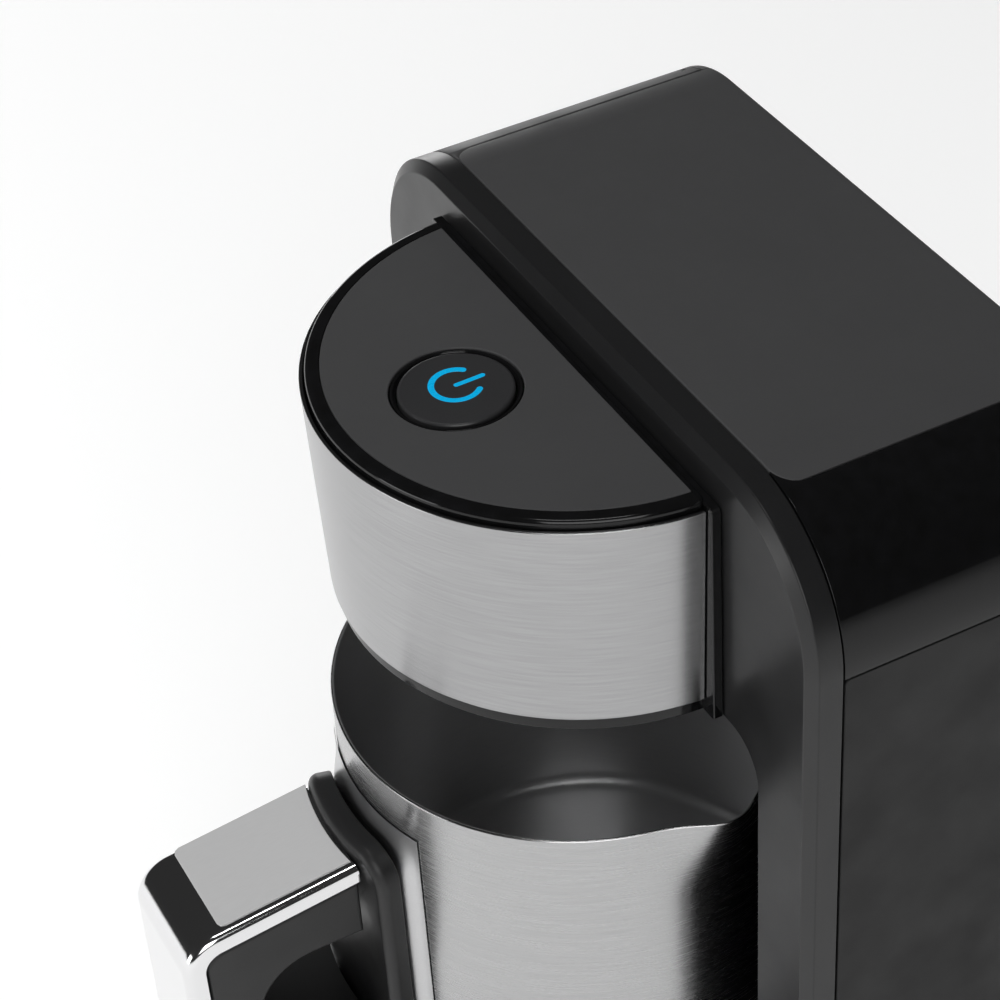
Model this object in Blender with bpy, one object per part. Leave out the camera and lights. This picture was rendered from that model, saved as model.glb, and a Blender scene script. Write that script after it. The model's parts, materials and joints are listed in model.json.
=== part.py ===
"""Soda carbonator: a dispensing machine with a half-round head, a steel jug and a drawer drip tray.

Everything is drawn in millimetres about the head's straight edge (y = 0) and the floor (z = 0),
with the handle towards -Y, and is centred over its own footprint at the end.
"""
import math

import bmesh
import bpy
from mathutils import Matrix, Vector

MM = 0.001
GAP = 0.3

# Tower
TOWER_HALF = 94.7
TOWER_TOP = 272.2
TOWER_BACK = 80.6
SHOULDER_R = 32.6
FOOT_CORNER_R = 3.0
FACE_Y = 2.8
CHAMFER_X = 2.8
CHAMFER_Y = 1.9
BEZEL_BACK = 10.3
WALL = 2.8
BODY_BOTTOM = 6.8
NICHE_HALF = 74.7
NICHE_BACK = 62.0
NICHE_TOP = 204.6
NICHE_FLOOR = 56.0
NICHE_R = 10.0
LINER_WALL = 2.0
PANEL_T = 1.1

# Head
HEAD_R = 60.0
HEAD_CY = 4.3
HEAD_R_LOW = 58.3
BAND_TOP = 261.0
BAND_LOW = 208.3
BAND_T = 1.0
LID_TOP = 263.2
LID_R = 58.7
BUTTON_Y = -24.9
BUTTON_R = 12.6
RING_R = (12.9, 14.1)
RING_HOLE_R = 14.4
ICON_CENTRE = (-1.3, BUTTON_Y + 0.6)
ICON_R = 5.3
ICON_STROKE = 1.4
ICON_GAP = 46
ICON_BAR = (-0.5, 6.9)

# Jug
JUG_R = 57.6
JUG_T = 0.9
JUG_RIM = 173.0
JUG_LOW = 75.0
SPOUT_REACH = 5.2
SPOUT_AZ = 5.0
HANDLE_X = -2.4
HANDLE_HALF = 15.4
HANDLE_S = 109.4
HANDLE_SLOPE = 0.11
HANDLE_BEND_R = 10.0
HANDLE_ROOT = 66.3
HANDLE_TOP = 151.0
HANDLE_LOW = 86.0
STRAP_T = 5.0
PLATE_END = 98.9

# Base and tray
BASE_R = 74.0
TRAY_TOP = 72.9
GRILLE_TOP = 74.7
TRAY_BACK = 58.0

# Lid hinge and cartridge door hinge
LID_ROLL_R = 4.5
LID_AXIS = (TOWER_BACK - LID_ROLL_R, TOWER_TOP - LID_ROLL_R)
LID_HALF = 71.0
LUG_X = 74.5
LID_CORNER_R = 6.0
LID_T = 2.6
DOOR_AXIS = (-93.3, 12.0)
DOOR_Y = (28.0, 72.0)
DOOR_TOP = 52.0

# Where the two pressure hoses start, up to the top of the tower's side columns
WATER_RISE = [(11, -24, 47.8), (10.5, -22.5, 49.6), (6, -10, 47), (-10, 10, 42), (-50, 18, 42), (-74, 16, 46),
              (-80, 16, 62), (-82, 18, 120), (-84, 18, 185)]
GAS_RISE = [(85, 45, 46.3), (85, 45, 60), (85, 40, 100), (85, 24, 160)]

# The footprint's middle lies this far in front of the head's straight edge
CENTRE_Y = (TOWER_BACK - HANDLE_S) / 2

MATERIALS = {
    "gloss_black": ((0.006, 0.006, 0.007), 0.12, 0.0),
    "matte_black": ((0.045, 0.045, 0.047), 0.5, 0.0),
    "black_plastic": ((0.012, 0.012, 0.013), 0.4, 0.0),
    "brushed_steel": ((0.55, 0.55, 0.55), 0.32, 1.0),
    "satin_metal": ((0.48, 0.48, 0.48), 0.4, 1.0),
    "chrome": ((0.75, 0.75, 0.76), 0.06, 1.0),
    "brass": ((0.6, 0.42, 0.18), 0.3, 1.0),
    "white_plastic": ((0.7, 0.7, 0.68), 0.4, 0.0),
    "blue_inlay": ((0.0, 0.35, 0.72), 0.2, 0.0),
    "clear_plastic": ((0.5, 0.55, 0.58), 0.15, 0.0),
    "hose_plastic": ((0.6, 0.62, 0.62), 0.35, 0.0),
    "circuit_board": ((0.02, 0.12, 0.05), 0.45, 0.0),
    "rubber": ((0.02, 0.02, 0.02), 0.8, 0.0),
    "grey_cylinder": ((0.25, 0.26, 0.28), 0.35, 1.0),
}


def clear_scene():
    for obj in list(bpy.data.objects):
        bpy.data.objects.remove(obj, do_unlink=True)


def material(name):
    found = bpy.data.materials.get(name)
    if found:
        return found
    colour, roughness, metallic = MATERIALS[name]
    mat = bpy.data.materials.new(name)
    mat.use_nodes = True
    shader = mat.node_tree.nodes["Principled BSDF"]
    shader.inputs["Base Color"].default_value = (*colour, 1.0)
    shader.inputs["Roughness"].default_value = roughness
    shader.inputs["Metallic"].default_value = metallic
    return mat


# ---------------------------------------------------------------- outlines

def arc(cx, cy, radius, start, end, steps):
    """Points on an arc, in degrees, both ends included."""
    points = []
    for i in range(steps + 1):
        a = math.radians(start + (end - start) * i / steps)
        points.append((cx + radius * math.cos(a), cy + radius * math.sin(a)))
    return points


def rounded_box(x0, y0, x1, y1, low_r, top_r, steps=6):
    """A rectangle with one radius on its two lower corners and one on its two upper corners."""
    corners = [
        (x1 - low_r, y0 + low_r, low_r, -90),
        (x1 - top_r, y1 - top_r, top_r, 0),
        (x0 + top_r, y1 - top_r, top_r, 90),
        (x0 + low_r, y0 + low_r, low_r, 180),
    ]
    points = []
    for cx, cy, radius, start in corners:
        points += arc(cx, cy, radius, start, start + 90, steps)
    return points


def circle(cx, cy, radius, steps=24):
    return arc(cx, cy, radius, 0, 360 - 360 / steps, steps - 1)


def half_disc(radius, centre_y, chord_y, steps=36):
    """The part of a disc in front of a straight chord."""
    lift = math.degrees(math.asin((chord_y - centre_y) / radius))
    return arc(0, centre_y, radius, 180 - lift, 360 + lift, steps)


def tower_outline(inset, low=BODY_BOTTOM, steps=8):
    return rounded_box(
        -TOWER_HALF + inset, low + inset, TOWER_HALF - inset, TOWER_TOP - inset,
        max(FOOT_CORNER_R - inset, 0.4), SHOULDER_R - inset, steps,
    )


# ------------------------------------------------------------------ solids

def place(u, v, w, axis):
    """A point of an outline drawn at height w along an axis."""
    return {"X": (w, u, v), "Y": (u, w, v), "Z": (u, v, w)}[axis]


def finish_mesh(bm, offset=(0, 0, 0)):
    bmesh.ops.recalc_face_normals(bm, faces=bm.faces)
    bmesh.ops.translate(bm, verts=bm.verts, vec=Vector(offset))
    bmesh.ops.scale(bm, verts=bm.verts, vec=(MM, MM, MM))
    return bm


def plate(loops, low, high, axis="Z"):
    """A flat plate between two heights. The first loop is its outline and the others are holes."""
    bm = bmesh.new()
    for loop in loops:
        verts = [bm.verts.new(place(u, v, low, axis)) for u, v in loop]
        for a, b in zip(verts, verts[1:] + verts[:1]):
            bm.edges.new((a, b))
    if len(loops) == 1:
        bm.faces.new(list(bm.verts))
    else:
        bmesh.ops.triangle_fill(bm, use_beauty=True, edges=bm.edges[:])
    lifted = bmesh.ops.extrude_face_region(bm, geom=bm.faces[:])["geom"]
    step = Vector(place(0, 0, high, axis)) - Vector(place(0, 0, low, axis))
    bmesh.ops.translate(bm, verts=[g for g in lifted if isinstance(g, bmesh.types.BMVert)], vec=step)
    return finish_mesh(bm)


def loft(sections, axis="Z"):
    """A solid through outlines with equal point counts, each given as (height, outline)."""
    bm = bmesh.new()
    rings = [[bm.verts.new(place(u, v, w, axis)) for u, v in loop] for w, loop in sections]
    for low, high in zip(rings, rings[1:]):
        for i in range(len(low)):
            j = (i + 1) % len(low)
            bm.faces.new((low[i], low[j], high[j], high[i]))
    bm.faces.new(rings[0])
    bm.faces.new(rings[-1])
    return finish_mesh(bm)


def lathe(profile, centre=(0, 0), steps=32, axis="Z"):
    """Turns a closed (radius, height) profile about an axis; points at radius 0 meet at a pole."""
    bm = bmesh.new()
    rings = []
    for radius, height in profile:
        if radius == 0:
            rings.append([bm.verts.new(place(*centre, height, axis))] * steps)
        else:
            ring = circle(*centre, radius, steps)
            rings.append([bm.verts.new(place(u, v, height, axis)) for u, v in ring])
    for low, high in zip(rings, rings[1:] + rings[:1]):
        for i in range(steps):
            j = (i + 1) % steps
            corners = list(dict.fromkeys((low[i], low[j], high[j], high[i])))
            if len(corners) > 2:
                bm.faces.new(corners)
    return finish_mesh(bm)


def rod(centre, radius, low, high, axis="Z", steps=20):
    return plate([circle(*centre, radius, steps)], low, high, axis)


def box(x0, y0, z0, x1, y1, z1):
    return plate([[(x0, y0), (x1, y0), (x1, y1), (x0, y1)]], z0, z1)


def build(name, bm, slot, origin=(0, 0, 0)):
    """Makes the named object, with its origin at a point given in millimetres."""
    start = Vector(origin) * MM
    bm.transform(Matrix.Translation(-start))
    mesh = bpy.data.meshes.new(name)
    bm.to_mesh(mesh)
    bm.free()
    mesh.shade_smooth()
    mesh.set_sharp_from_angle(angle=math.radians(30))
    mesh.materials.append(material(slot))
    obj = bpy.data.objects.new(name, mesh)
    obj.location = start
    bpy.context.scene.collection.objects.link(obj)
    return obj


def combine(obj, bm, operation="DIFFERENCE"):
    """Cuts a shape out of an object, or joins it on, with a hidden tool object."""
    tool = build(f"{obj.name}_tool", bm, "rubber")
    tool.hide_render = True
    tool.display_type = "WIRE"
    modifier = obj.modifiers.new(operation.lower(), "BOOLEAN")
    modifier.operation = operation
    modifier.solver = "EXACT"
    modifier.object = tool


def smooth_path(points, per_span=6):
    """A Catmull-Rom curve through the given points."""
    knots = [Vector(p) for p in points]
    ends = [knots[0] * 2 - knots[1]] + knots + [knots[-1] * 2 - knots[-2]]
    path = []
    for i in range(len(knots) - 1):
        a, b, c, d = ends[i:i + 4]
        for k in range(per_span):
            t = k / per_span
            path.append(0.5 * (2 * b + (c - a) * t + (2 * a - 5 * b + 4 * c - d) * t ** 2
                               + (3 * b - a - 3 * c + d) * t ** 3))
    return path + [knots[-1]]


def hose(name, points, radius, slot, per_span=3):
    """A hose or cable along a smooth route, as a bevelled curve with filled caps."""
    path = smooth_path(points, per_span)
    curve = bpy.data.curves.new(name, "CURVE")
    curve.dimensions = "3D"
    curve.bevel_depth = radius * MM
    curve.bevel_resolution = 2
    curve.use_fill_caps = True
    spline = curve.splines.new("POLY")
    spline.points.add(len(path) - 1)
    for point, co in zip(spline.points, path):
        point.co = (*(co * MM), 1.0)
    curve.materials.append(material(slot))
    obj = bpy.data.objects.new(name, curve)
    bpy.context.scene.collection.objects.link(obj)
    return obj


# ------------------------------------------------------------------- tower

def head_window(low_y, high_y):
    """The passage for hoses between the tower and the head."""
    return plate([rounded_box(-45, 214, 45, 252, 4, 4, 3)], low_y, high_y, "Y")


def front_bezel():
    face = tower_outline(CHAMFER_X)
    full = tower_outline(0)
    sections = [(FACE_Y, face), (FACE_Y + CHAMFER_Y, full), (BEZEL_BACK, full)]
    obj = build("front_bezel", loft(sections, "Y"), "matte_black")
    combine(obj, plate([tower_outline(WALL)], FACE_Y + WALL, BEZEL_BACK + 1, "Y"))
    niche = rounded_box(-NICHE_HALF, NICHE_FLOOR, NICHE_HALF, NICHE_TOP, 1.0, NICHE_R)
    combine(obj, plate([niche], 0, BEZEL_BACK, "Y"))
    combine(obj, head_window(0, BEZEL_BACK))
    combine(obj, base_window(0, BEZEL_BACK))


def tower_shell():
    low_y = BEZEL_BACK + GAP
    high_y = TOWER_BACK - 2.6
    loops = [tower_outline(0), tower_outline(WALL)]
    obj = build("tower_shell", plate(loops, low_y, high_y, "Y"), "gloss_black")
    for side in (-1, 1):
        for z in (22, 236):
            combine(obj, rod((side * 86.5, z), 6.5, 70, high_y - 0.01, "Y", 16), "UNION")
        lug = box(side * LUG_X - 2, 70.5, TOWER_TOP - 2 * LID_ROLL_R, side * LUG_X + 2, high_y - 0.1, 268.5)
        combine(obj, lug, "UNION")
    for side in (-1, 1):
        for z in (22, 236):
            combine(obj, rod((side * 86.5, z), 1.8, 60, high_y + 1, "Y", 12))
        x0, x1 = sorted((side * (TOWER_HALF - PANEL_T - GAP), side * (TOWER_HALF + 2)))
        combine(obj, box(x0, 0, 62, x1, 76.5, 238))
    combine(obj, plate([lid_opening(low_y)], 262, 280))
    combine(obj, rod(LID_AXIS, 1.3, -LUG_X - 2.5, LUG_X + 2.5, "X", 12))
    combine(obj, box(-100, DOOR_Y[0] - GAP, 10.4, -85, DOOR_Y[1] + GAP, DOOR_TOP + GAP))
    combine(obj, rod_y(DOOR_AXIS, 1.15, DOOR_Y[0] - 1.8, DOOR_Y[1] + 1.8))


def lid_opening(front):
    """The plan of the lid's hole, open to the rear, and to the front between two rounded corners."""
    half, r = LID_HALF + GAP, LID_CORNER_R + GAP
    right = arc(half - r, front + r, r, -75, 0, 6)
    left = arc(r - half, front + r, r, 180, 255, 6)
    return [(right[0][0], 0)] + right + [(half, TOWER_BACK), (-half, TOWER_BACK)] + left + [(left[-1][0], 0)]


def rod_y(centre, radius, low, high):
    return rod(centre, radius, low, high, "Y", 12)


def rear_cover():
    edge = TOWER_BACK - 1.0
    sections = [(TOWER_BACK - 2.3, tower_outline(0)), (edge, tower_outline(0)), (TOWER_BACK, tower_outline(1.0))]
    obj = build("rear_cover", loft(sections, "Y"), "matte_black")
    combine(obj, box(49.6, 60, 15.6, 76.4, 90, 36.4))
    lid_low = TOWER_TOP - 2 * LID_ROLL_R - GAP
    combine(obj, box(-LID_HALF - GAP, 60, lid_low, LID_HALF + GAP, 90, TOWER_TOP + 5))
    for side in (-1, 1):
        for z in (22, 236):
            centre = (side * 86.5, z)
            combine(obj, rod(centre, 1.9, 70, 90, "Y", 12))
            combine(obj, rod(centre, 3.4, TOWER_BACK - 1.3, 90, "Y", 16))
    for i in range(7):
        x = -30 + i * 10
        combine(obj, plate([rounded_box(x - 1.5, 120, x + 1.5, 160, 1.2, 1.2, 1)], 70, 90, "Y"))


def niche_liner():
    w = LINER_WALL
    outer = rounded_box(-NICHE_HALF - w, NICHE_FLOOR - w, NICHE_HALF + w, NICHE_TOP + w, 2, NICHE_R + w)
    inner = rounded_box(-NICHE_HALF, NICHE_FLOOR, NICHE_HALF, NICHE_TOP, 1, NICHE_R)
    obj = build("niche_liner", plate([outer], FACE_Y + WALL + GAP, NICHE_BACK + w, "Y"), "gloss_black")
    combine(obj, plate([inner], 0, NICHE_BACK, "Y"))


def side_panels():
    for side, name in ((-1, "side_panel_left"), (1, "side_panel_right")):
        x0, x1 = sorted((side * (TOWER_HALF - PANEL_T), side * TOWER_HALF))
        build(name, box(x0, BEZEL_BACK + 0.5, 62 + GAP, x1, 76.5 - GAP, 238 - GAP), "matte_black")


def reservoir_lid():
    """A flat lid that follows the shoulders at its sides and turns down into a hinge barrel at the back."""
    y, z = LID_AXIS
    r = LID_ROLL_R
    low = TOWER_TOP - LID_T
    front = BEZEL_BACK + GAP
    above = 5.0
    outline = [(front, low), (front, TOWER_TOP + above), (TOWER_BACK - 1 - above, TOWER_TOP + above)]
    outline += [(TOWER_BACK, TOWER_TOP - 1)] + arc(y, z, r, 0, -180, 10) + [(y - r, low)]
    bm = plate([outline], -LID_HALF, LID_HALF, "X")
    obj = build("reservoir_lid", bm, "matte_black", (0, y, z))
    plan = rounded_box(-LID_HALF, front, LID_HALF, y + 2 * r, LID_CORNER_R, 0.4)
    combine(obj, plate([plan], low - 20, TOWER_TOP + 2 * above), "INTERSECT")
    combine(obj, plate([tower_outline(0)], 0, TOWER_BACK + above, "Y"), "INTERSECT")
    combine(obj, rod(LID_AXIS, 1.25, -LID_HALF - 5, LID_HALF + 5, "X", 16))


def lid_hinge_pin():
    build("lid_hinge_pin", rod(LID_AXIS, 1.0, -LUG_X - 2, LUG_X + 2, "X", 12), "satin_metal")


def lid_gasket():
    outer = rounded_box(-58, 16.5, 58, 66, 4, 4, 3)
    inner = rounded_box(-55.5, 19, 55.5, 63.5, 2, 2, 3)
    high = TOWER_TOP - LID_T - GAP
    build("lid_gasket", plate([outer, inner], high - 1.2, high), "rubber", (0, *LID_AXIS))


def water_reservoir():
    """An open tank with a neck that rises to the lid's gasket and a port in its floor."""
    low, shoulder, mouth = 212.0, 258.0, TOWER_TOP - LID_T - 1.8
    tank = rounded_box(-88, low, 88, shoulder, 2, 14, 5)
    obj = build("water_reservoir", plate([tank], 15, 67, "Y"), "clear_plastic")
    combine(obj, plate([rounded_box(-58, 16.5, 58, 66, 4, 4, 3)], 240, mouth), "UNION")
    hollow = rounded_box(-86, low + 2, 86, shoulder - 2, 1, 12, 5)
    combine(obj, plate([hollow], 17, 65, "Y"))
    combine(obj, plate([rounded_box(-56, 18.5, 56, 64, 3, 3, 3)], 230, 290))
    combine(obj, rod((-82, 45), 3.5, 200, 216, "Z", 16))


def outlet_filter():
    """The spigot and strainer in the tank's floor."""
    profile = [(1.5, 203), (2.8, 203), (2.8, 209), (5.0, 209), (5.0, 211.7), (3.1, 211.7), (3.1, 218), (1.5, 218)]
    build("outlet_filter", lathe(profile, (-82, 45), 16), "white_plastic")


# -------------------------------------------------------------------- head

def head_band():
    """A thin steel wall, slightly tapered, round the front of the head."""
    bm = bmesh.new()
    rings = []
    walls = [(HEAD_R_LOW, BAND_LOW), (HEAD_R, BAND_TOP), (HEAD_R - BAND_T, BAND_TOP), (HEAD_R_LOW - BAND_T, BAND_LOW)]
    for radius, z in walls:
        rings.append([bm.verts.new((x, y, z)) for x, y in half_disc(radius, HEAD_CY, 0, 48)])
    for a, b in zip(rings, rings[1:] + rings[:1]):
        for i in range(len(a) - 1):
            bm.faces.new((a[i], a[i + 1], b[i + 1], b[i]))
    for end in (0, -1):
        bm.faces.new([ring[end] for ring in rings])
    build("head_band", finish_mesh(bm), "brushed_steel")


def head_shell():
    outer = half_disc(HEAD_R_LOW - 1.7, HEAD_CY, 1.0)
    inner = half_disc(HEAD_R_LOW - 3.7, HEAD_CY, -1.0)
    obj = build("head_shell", plate([outer, inner], BAND_LOW, LID_TOP - 3.3), "black_plastic")
    combine(obj, head_window(-3, 3))


def head_lid():
    high = LID_TOP
    sections = [(high - 3.0, 0), (high - 1.5, 0), (high - 0.5, 0.6), (high, 2.0)]
    loops = [(z, half_disc(LID_R - inset, HEAD_CY, -inset, 48)) for z, inset in sections]
    obj = build("head_lid", loft(loops), "matte_black")
    combine(obj, rod((0, BUTTON_Y), RING_HOLE_R, 250, 270, "Z", 32))


def head_floor():
    outline = half_disc(HEAD_R_LOW - 0.9, HEAD_CY, 0.8, 48)
    obj = build("head_floor", plate([outline], NICHE_TOP, BAND_LOW - GAP), "gloss_black")
    combine(obj, rod((0, BUTTON_Y), 5.4, 200, 215))


def head_collar():
    outer = rounded_box(-61.6, NICHE_TOP - 1.2, 61.6, LID_TOP - 0.8, 0.6, 0.6, 2)
    obj = build("head_collar", plate([outer], FACE_Y - 1.5, FACE_Y - GAP, "Y"), "gloss_black")
    combine(obj, head_window(0, 5))


def icon_outlines(grow):
    """The plans of the button's lit symbol: an open ring, and a bar that leaves through the ring's gap."""
    cx, cy = ICON_CENTRE
    half = ICON_STROKE / 2 + grow
    start, end = 90 + ICON_GAP, 450 - ICON_GAP
    ring = arc(cx, cy, ICON_R + half, start, end, 30)
    for angle, turn in ((end, 0), (start, 180)):
        tip = (cx + ICON_R * math.cos(math.radians(angle)), cy + ICON_R * math.sin(math.radians(angle)))
        ring += arc(*tip, half, angle + turn, angle + turn + 180, 6)[1:-1]
        if angle == end:
            ring += arc(cx, cy, ICON_R - half, end, start, 30)
    bar = rounded_box(cx - half, cy + ICON_BAR[0] - grow, cx + half, cy + ICON_BAR[1] + grow, half - 0.02, half - 0.02, 4)
    return {"icon_ring": ring, "icon_bar": bar}


def power_button():
    top = LID_TOP + 0.2
    profile = [(0, top), (BUTTON_R - 0.7, top), (BUTTON_R - 0.2, top - 0.2), (BUTTON_R, top - 0.7),
               (BUTTON_R, top - 3.2), (8.0, top - 3.2), (8.0, top - 2.0), (1.5, top - 2.0), (1.5, 258.4), (0, 258.4)]
    obj = build("power_button", lathe(profile, (0, BUTTON_Y), 32), "gloss_black", (0, BUTTON_Y, top))
    for outline in icon_outlines(GAP).values():
        combine(obj, plate([outline], top - 0.8, top + 1))


def power_icon():
    """The two clear blue inlays let into the button's face."""
    top = LID_TOP + 0.2
    for name, outline in icon_outlines(0).items():
        build(name, plate([outline], top - 0.5, top + 0.05), "blue_inlay", (0, BUTTON_Y, top))


def button_ring():
    inner, outer = RING_R
    top = LID_TOP - 0.2
    profile = [(inner, 259.4), (outer, 259.4), (outer, top - 0.3), (outer - 0.3, top), (inner + 0.3, top), (inner, top - 0.3)]
    build("button_ring", lathe(profile, (0, BUTTON_Y), 32), "gloss_black")


def button_spring():
    """A coil spring between the control board and the button."""
    low, high, turns, per_turn = 254.4, 260.4, 4, 10
    points = []
    for i in range(turns * per_turn + 1):
        a = 2 * math.pi * i / per_turn
        z = low + (high - low) * i / (turns * per_turn)
        points.append((6.2 * math.cos(a), BUTTON_Y + 6.2 * math.sin(a), z))
    hose("button_spring", points, 0.4, "satin_metal", 1)


def tact_switch():
    obj = build("tact_switch", box(-3, BUTTON_Y - 3, 253.7, 3, BUTTON_Y + 3, 255.6), "black_plastic")
    combine(obj, rod((0, BUTTON_Y), 1.4, 255, 256.6, "Z", 12), "UNION")


def control_board():
    obj = build("control_board", box(-29, -40, 251.8, 29, -6, 253.4), "circuit_board")
    for x, y in ((-23, -30), (22, -34), (23, -14)):
        combine(obj, box(x - 5, y - 4, 253, x + 5, y + 4, 255.5), "UNION")


def carbonation_chamber():
    """A pressure vessel: a deep steel cup whose port leads to the nozzle."""
    low, high = 211.0, 235.0
    profile = [(1.6, low), (19, low), (22, low + 3), (22, high), (20.5, high), (20.5, low + 4), (18.5, low + 1.5),
               (1.6, low + 1.5)]
    build("carbonation_chamber", lathe(profile, (0, BUTTON_Y), 32), "satin_metal")


def chamber_cap():
    obj = build("chamber_cap", rod((0, BUTTON_Y), 22.5, 235.3, 239.3, "Z", 32), "brass")
    for x in (-12, 12):
        combine(obj, rod((x, BUTTON_Y), 3.0, 238, 243, "Z", 12), "UNION")
    for x in (-12, 12):
        combine(obj, rod((x, BUTTON_Y), 1.2, 230, 250, "Z", 10))


def nozzle():
    profile = [(1.6, 200.5), (3.6, 200.5), (5.0, 202.5), (5.0, 208.4), (7.5, 208.4), (7.5, 210.7), (1.6, 210.7)]
    build("nozzle", lathe(profile, (0, BUTTON_Y), 24), "chrome")


# -------------------------------------------------------------------- base

def base_window(low_y, high_y):
    """The passage for hoses between the tower's foot and the base."""
    return plate([rounded_box(-35, 14, 35, 48, 3, 3, 2)], low_y, high_y, "Y")


def base_shell():
    high = NICHE_FLOOR - GAP
    outer = half_disc(BASE_R, FACE_Y, FACE_Y - GAP, 48)
    inner = half_disc(BASE_R - 2.5, FACE_Y, 0, 48)
    obj = build("base_shell", plate([outer], BODY_BOTTOM, high), "gloss_black")
    combine(obj, plate([inner], 0, high - 2.2))
    combine(obj, base_window(-5, 5))


def base_pan():
    front = half_disc(BASE_R - 0.3, FACE_Y, FACE_Y - 0.1, 36)
    w, back = TOWER_HALF - GAP, TOWER_BACK - GAP
    rear = [(w, FACE_Y + 0.3), (w, back - 3), (w - 3, back), (-w + 3, back), (-w, back - 3), (-w, FACE_Y + 0.3)]
    build("base_pan", plate([front + rear], 4.3, BODY_BOTTOM - GAP), "matte_black")


def feet():
    spots = {"foot_rear_left": (-80, 66), "foot_rear_right": (80, 66),
             "foot_front_left": (-48, -40), "foot_front_right": (48, -40)}
    for name, spot in spots.items():
        profile = [(0, 0), (7.2, 0), (8.5, 1.2), (8.5, 4.0), (0, 4.0)]
        build(name, lathe(profile, spot, 20), "rubber")


def tray_outline(radius, back):
    return half_disc(radius, FACE_Y, FACE_Y - 0.01, 40) + [(radius, back), (-radius, back)]


def drip_tray():
    low = NICHE_FLOOR + GAP
    obj = build("drip_tray", plate([tray_outline(BASE_R, TRAY_BACK)], low, TRAY_TOP), "gloss_black")
    combine(obj, plate([tray_outline(BASE_R - 2.2, TRAY_BACK - 2.2)], low + 2, 90))


def drip_grille():
    """A round grille with a flat back; the tray's rear corners stay open for a finger to lift it."""
    radius = BASE_R - 0.1
    reach = math.degrees(math.asin((TRAY_BACK - 0.1 - FACE_Y) / radius))
    loops = [arc(0, FACE_Y, radius, 180 - reach, 360 + reach, 60)]
    for i in range(11):
        x = -50 + 10 * i
        reach = math.sqrt(58 ** 2 - x ** 2)
        loops.append(rounded_box(x - 2.2, -reach + 3, x + 2.2, min(reach + 3, 50), 2.0, 2.0, 1))
    build("drip_grille", plate(loops, TRAY_TOP + GAP, GRILLE_TOP), "matte_black")


def co2_cylinder():
    profile = [(0, -88), (15, -88), (19, -84), (19, 18), (17, 26), (9, 32), (8, 44), (0, 44)]
    build("co2_cylinder", lathe(profile, (50, 31.5), 28, "X"), "grey_cylinder")


def co2_regulator():
    obj = build("co2_regulator", rod((50, 31.5), 13, 44.4, 60, "X", 24), "brass")
    combine(obj, rod((50, 31.5), 6, 59, 67.7, "X", 16), "UNION")


def solenoid_valve():
    """A valve body whose coil stands on it; its bore holds the plunger."""
    obj = build("solenoid_valve", box(68, 42, 16, 88, 58, 42), "black_plastic")
    combine(obj, rod((78, 50), 3.0, 24, 50, "Z", 16))
    combine(obj, rod((85, 45), 2.6, 41, 46, "Z", 12), "UNION")


def valve_plunger():
    build("valve_plunger", rod((78, 50), 2.7, 24.3, 38, "Z", 16), "satin_metal", (78, 50, 24.3))


def pump_housing():
    """A cup round the impeller, with an inlet in its face and an outlet on top."""
    profile = [(3.0, 20.0), (16, 20.0), (16, 2.0), (14, 2.0), (14, 18), (3.0, 18)]
    obj = build("pump_housing", lathe(profile, (-24, 30), 28, "X"), "white_plastic")
    combine(obj, rod((11, -24), 3.0, 44.5, 47.5, "Z", 12), "UNION")
    combine(obj, rod((11, -24), 1.5, 42, 60, "Z", 10))


def pump_impeller():
    obj = build("pump_impeller", rod((-24, 30), 5, 6, 15, "X", 16), "white_plastic", (10, -24, 30))
    for i in range(6):
        blade = box(6.5, -25, 34, 14.5, -23, 42.5)
        blade.transform(Matrix.Translation((0, -24 * MM, 30 * MM)) @ Matrix.Rotation(i * math.pi / 3, 4, "X")
                        @ Matrix.Translation((0, 24 * MM, -30 * MM)))
        combine(obj, blade, "UNION")
    combine(obj, rod((-24, 30), 1.5, -12, 7, "X", 12), "UNION")


def pump_motor():
    obj = build("pump_motor", rod((-24, 30), 14, -42, 1.6, "X", 28), "satin_metal")
    combine(obj, rod((-24, 30), 1.9, -14, 3, "X", 12))
    combine(obj, rod((-24, 30), 4, -45, -41, "X", 12), "UNION")


def power_supply_board():
    obj = build("power_supply_board", box(-30, -58, 12, 30, -42, 13.6), "circuit_board")
    for x, w, h in ((-20, 7, 14), (0, 8, 9), (20, 5, 16)):
        combine(obj, box(x - w, -56, 13, x + w, -44, 13.6 + h), "UNION")


def power_inlet():
    """A two-pin mains socket let into the rear cover."""
    obj = build("power_inlet", box(50, 66, 16, 76, TOWER_BACK, 36), "black_plastic")
    combine(obj, plate([rounded_box(54, 20, 72, 32, 5.5, 5.5, 4)], 70, 90, "Y"))
    for x in (59, 67):
        combine(obj, rod((x, 26), 1.2, 69, 79, "Y", 10), "UNION")


def co2_door():
    """The side door's lower edge is round about its hinge, with a stub pin at each end."""
    x, z = DOOR_AXIS
    r = TOWER_HALF + x
    outline = arc(x, z, r, 180, 360, 10) + [(x + r, DOOR_TOP), (-TOWER_HALF, DOOR_TOP)]
    obj = build("co2_door", plate([outline], *DOOR_Y, "Y"), "gloss_black", (x, DOOR_Y[0], z))
    combine(obj, rod_y(DOOR_AXIS, 0.8, DOOR_Y[0] - 1.5, DOOR_Y[1] + 1.5), "UNION")


def rear_screws():
    spots = ((-1, 22, "low_left"), (1, 22, "low_right"), (-1, 236, "high_left"), (1, 236, "high_right"))
    for side, z, place_name in spots:
        head = TOWER_BACK - 0.2
        profile = [(0, 68), (1.5, 68), (1.5, head - 0.8), (3.0, head - 0.8), (3.0, head), (0, head)]
        build(f"rear_screw_{place_name}", lathe(profile, (side * 86.5, z), 14, "Y"), "satin_metal")


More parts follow.
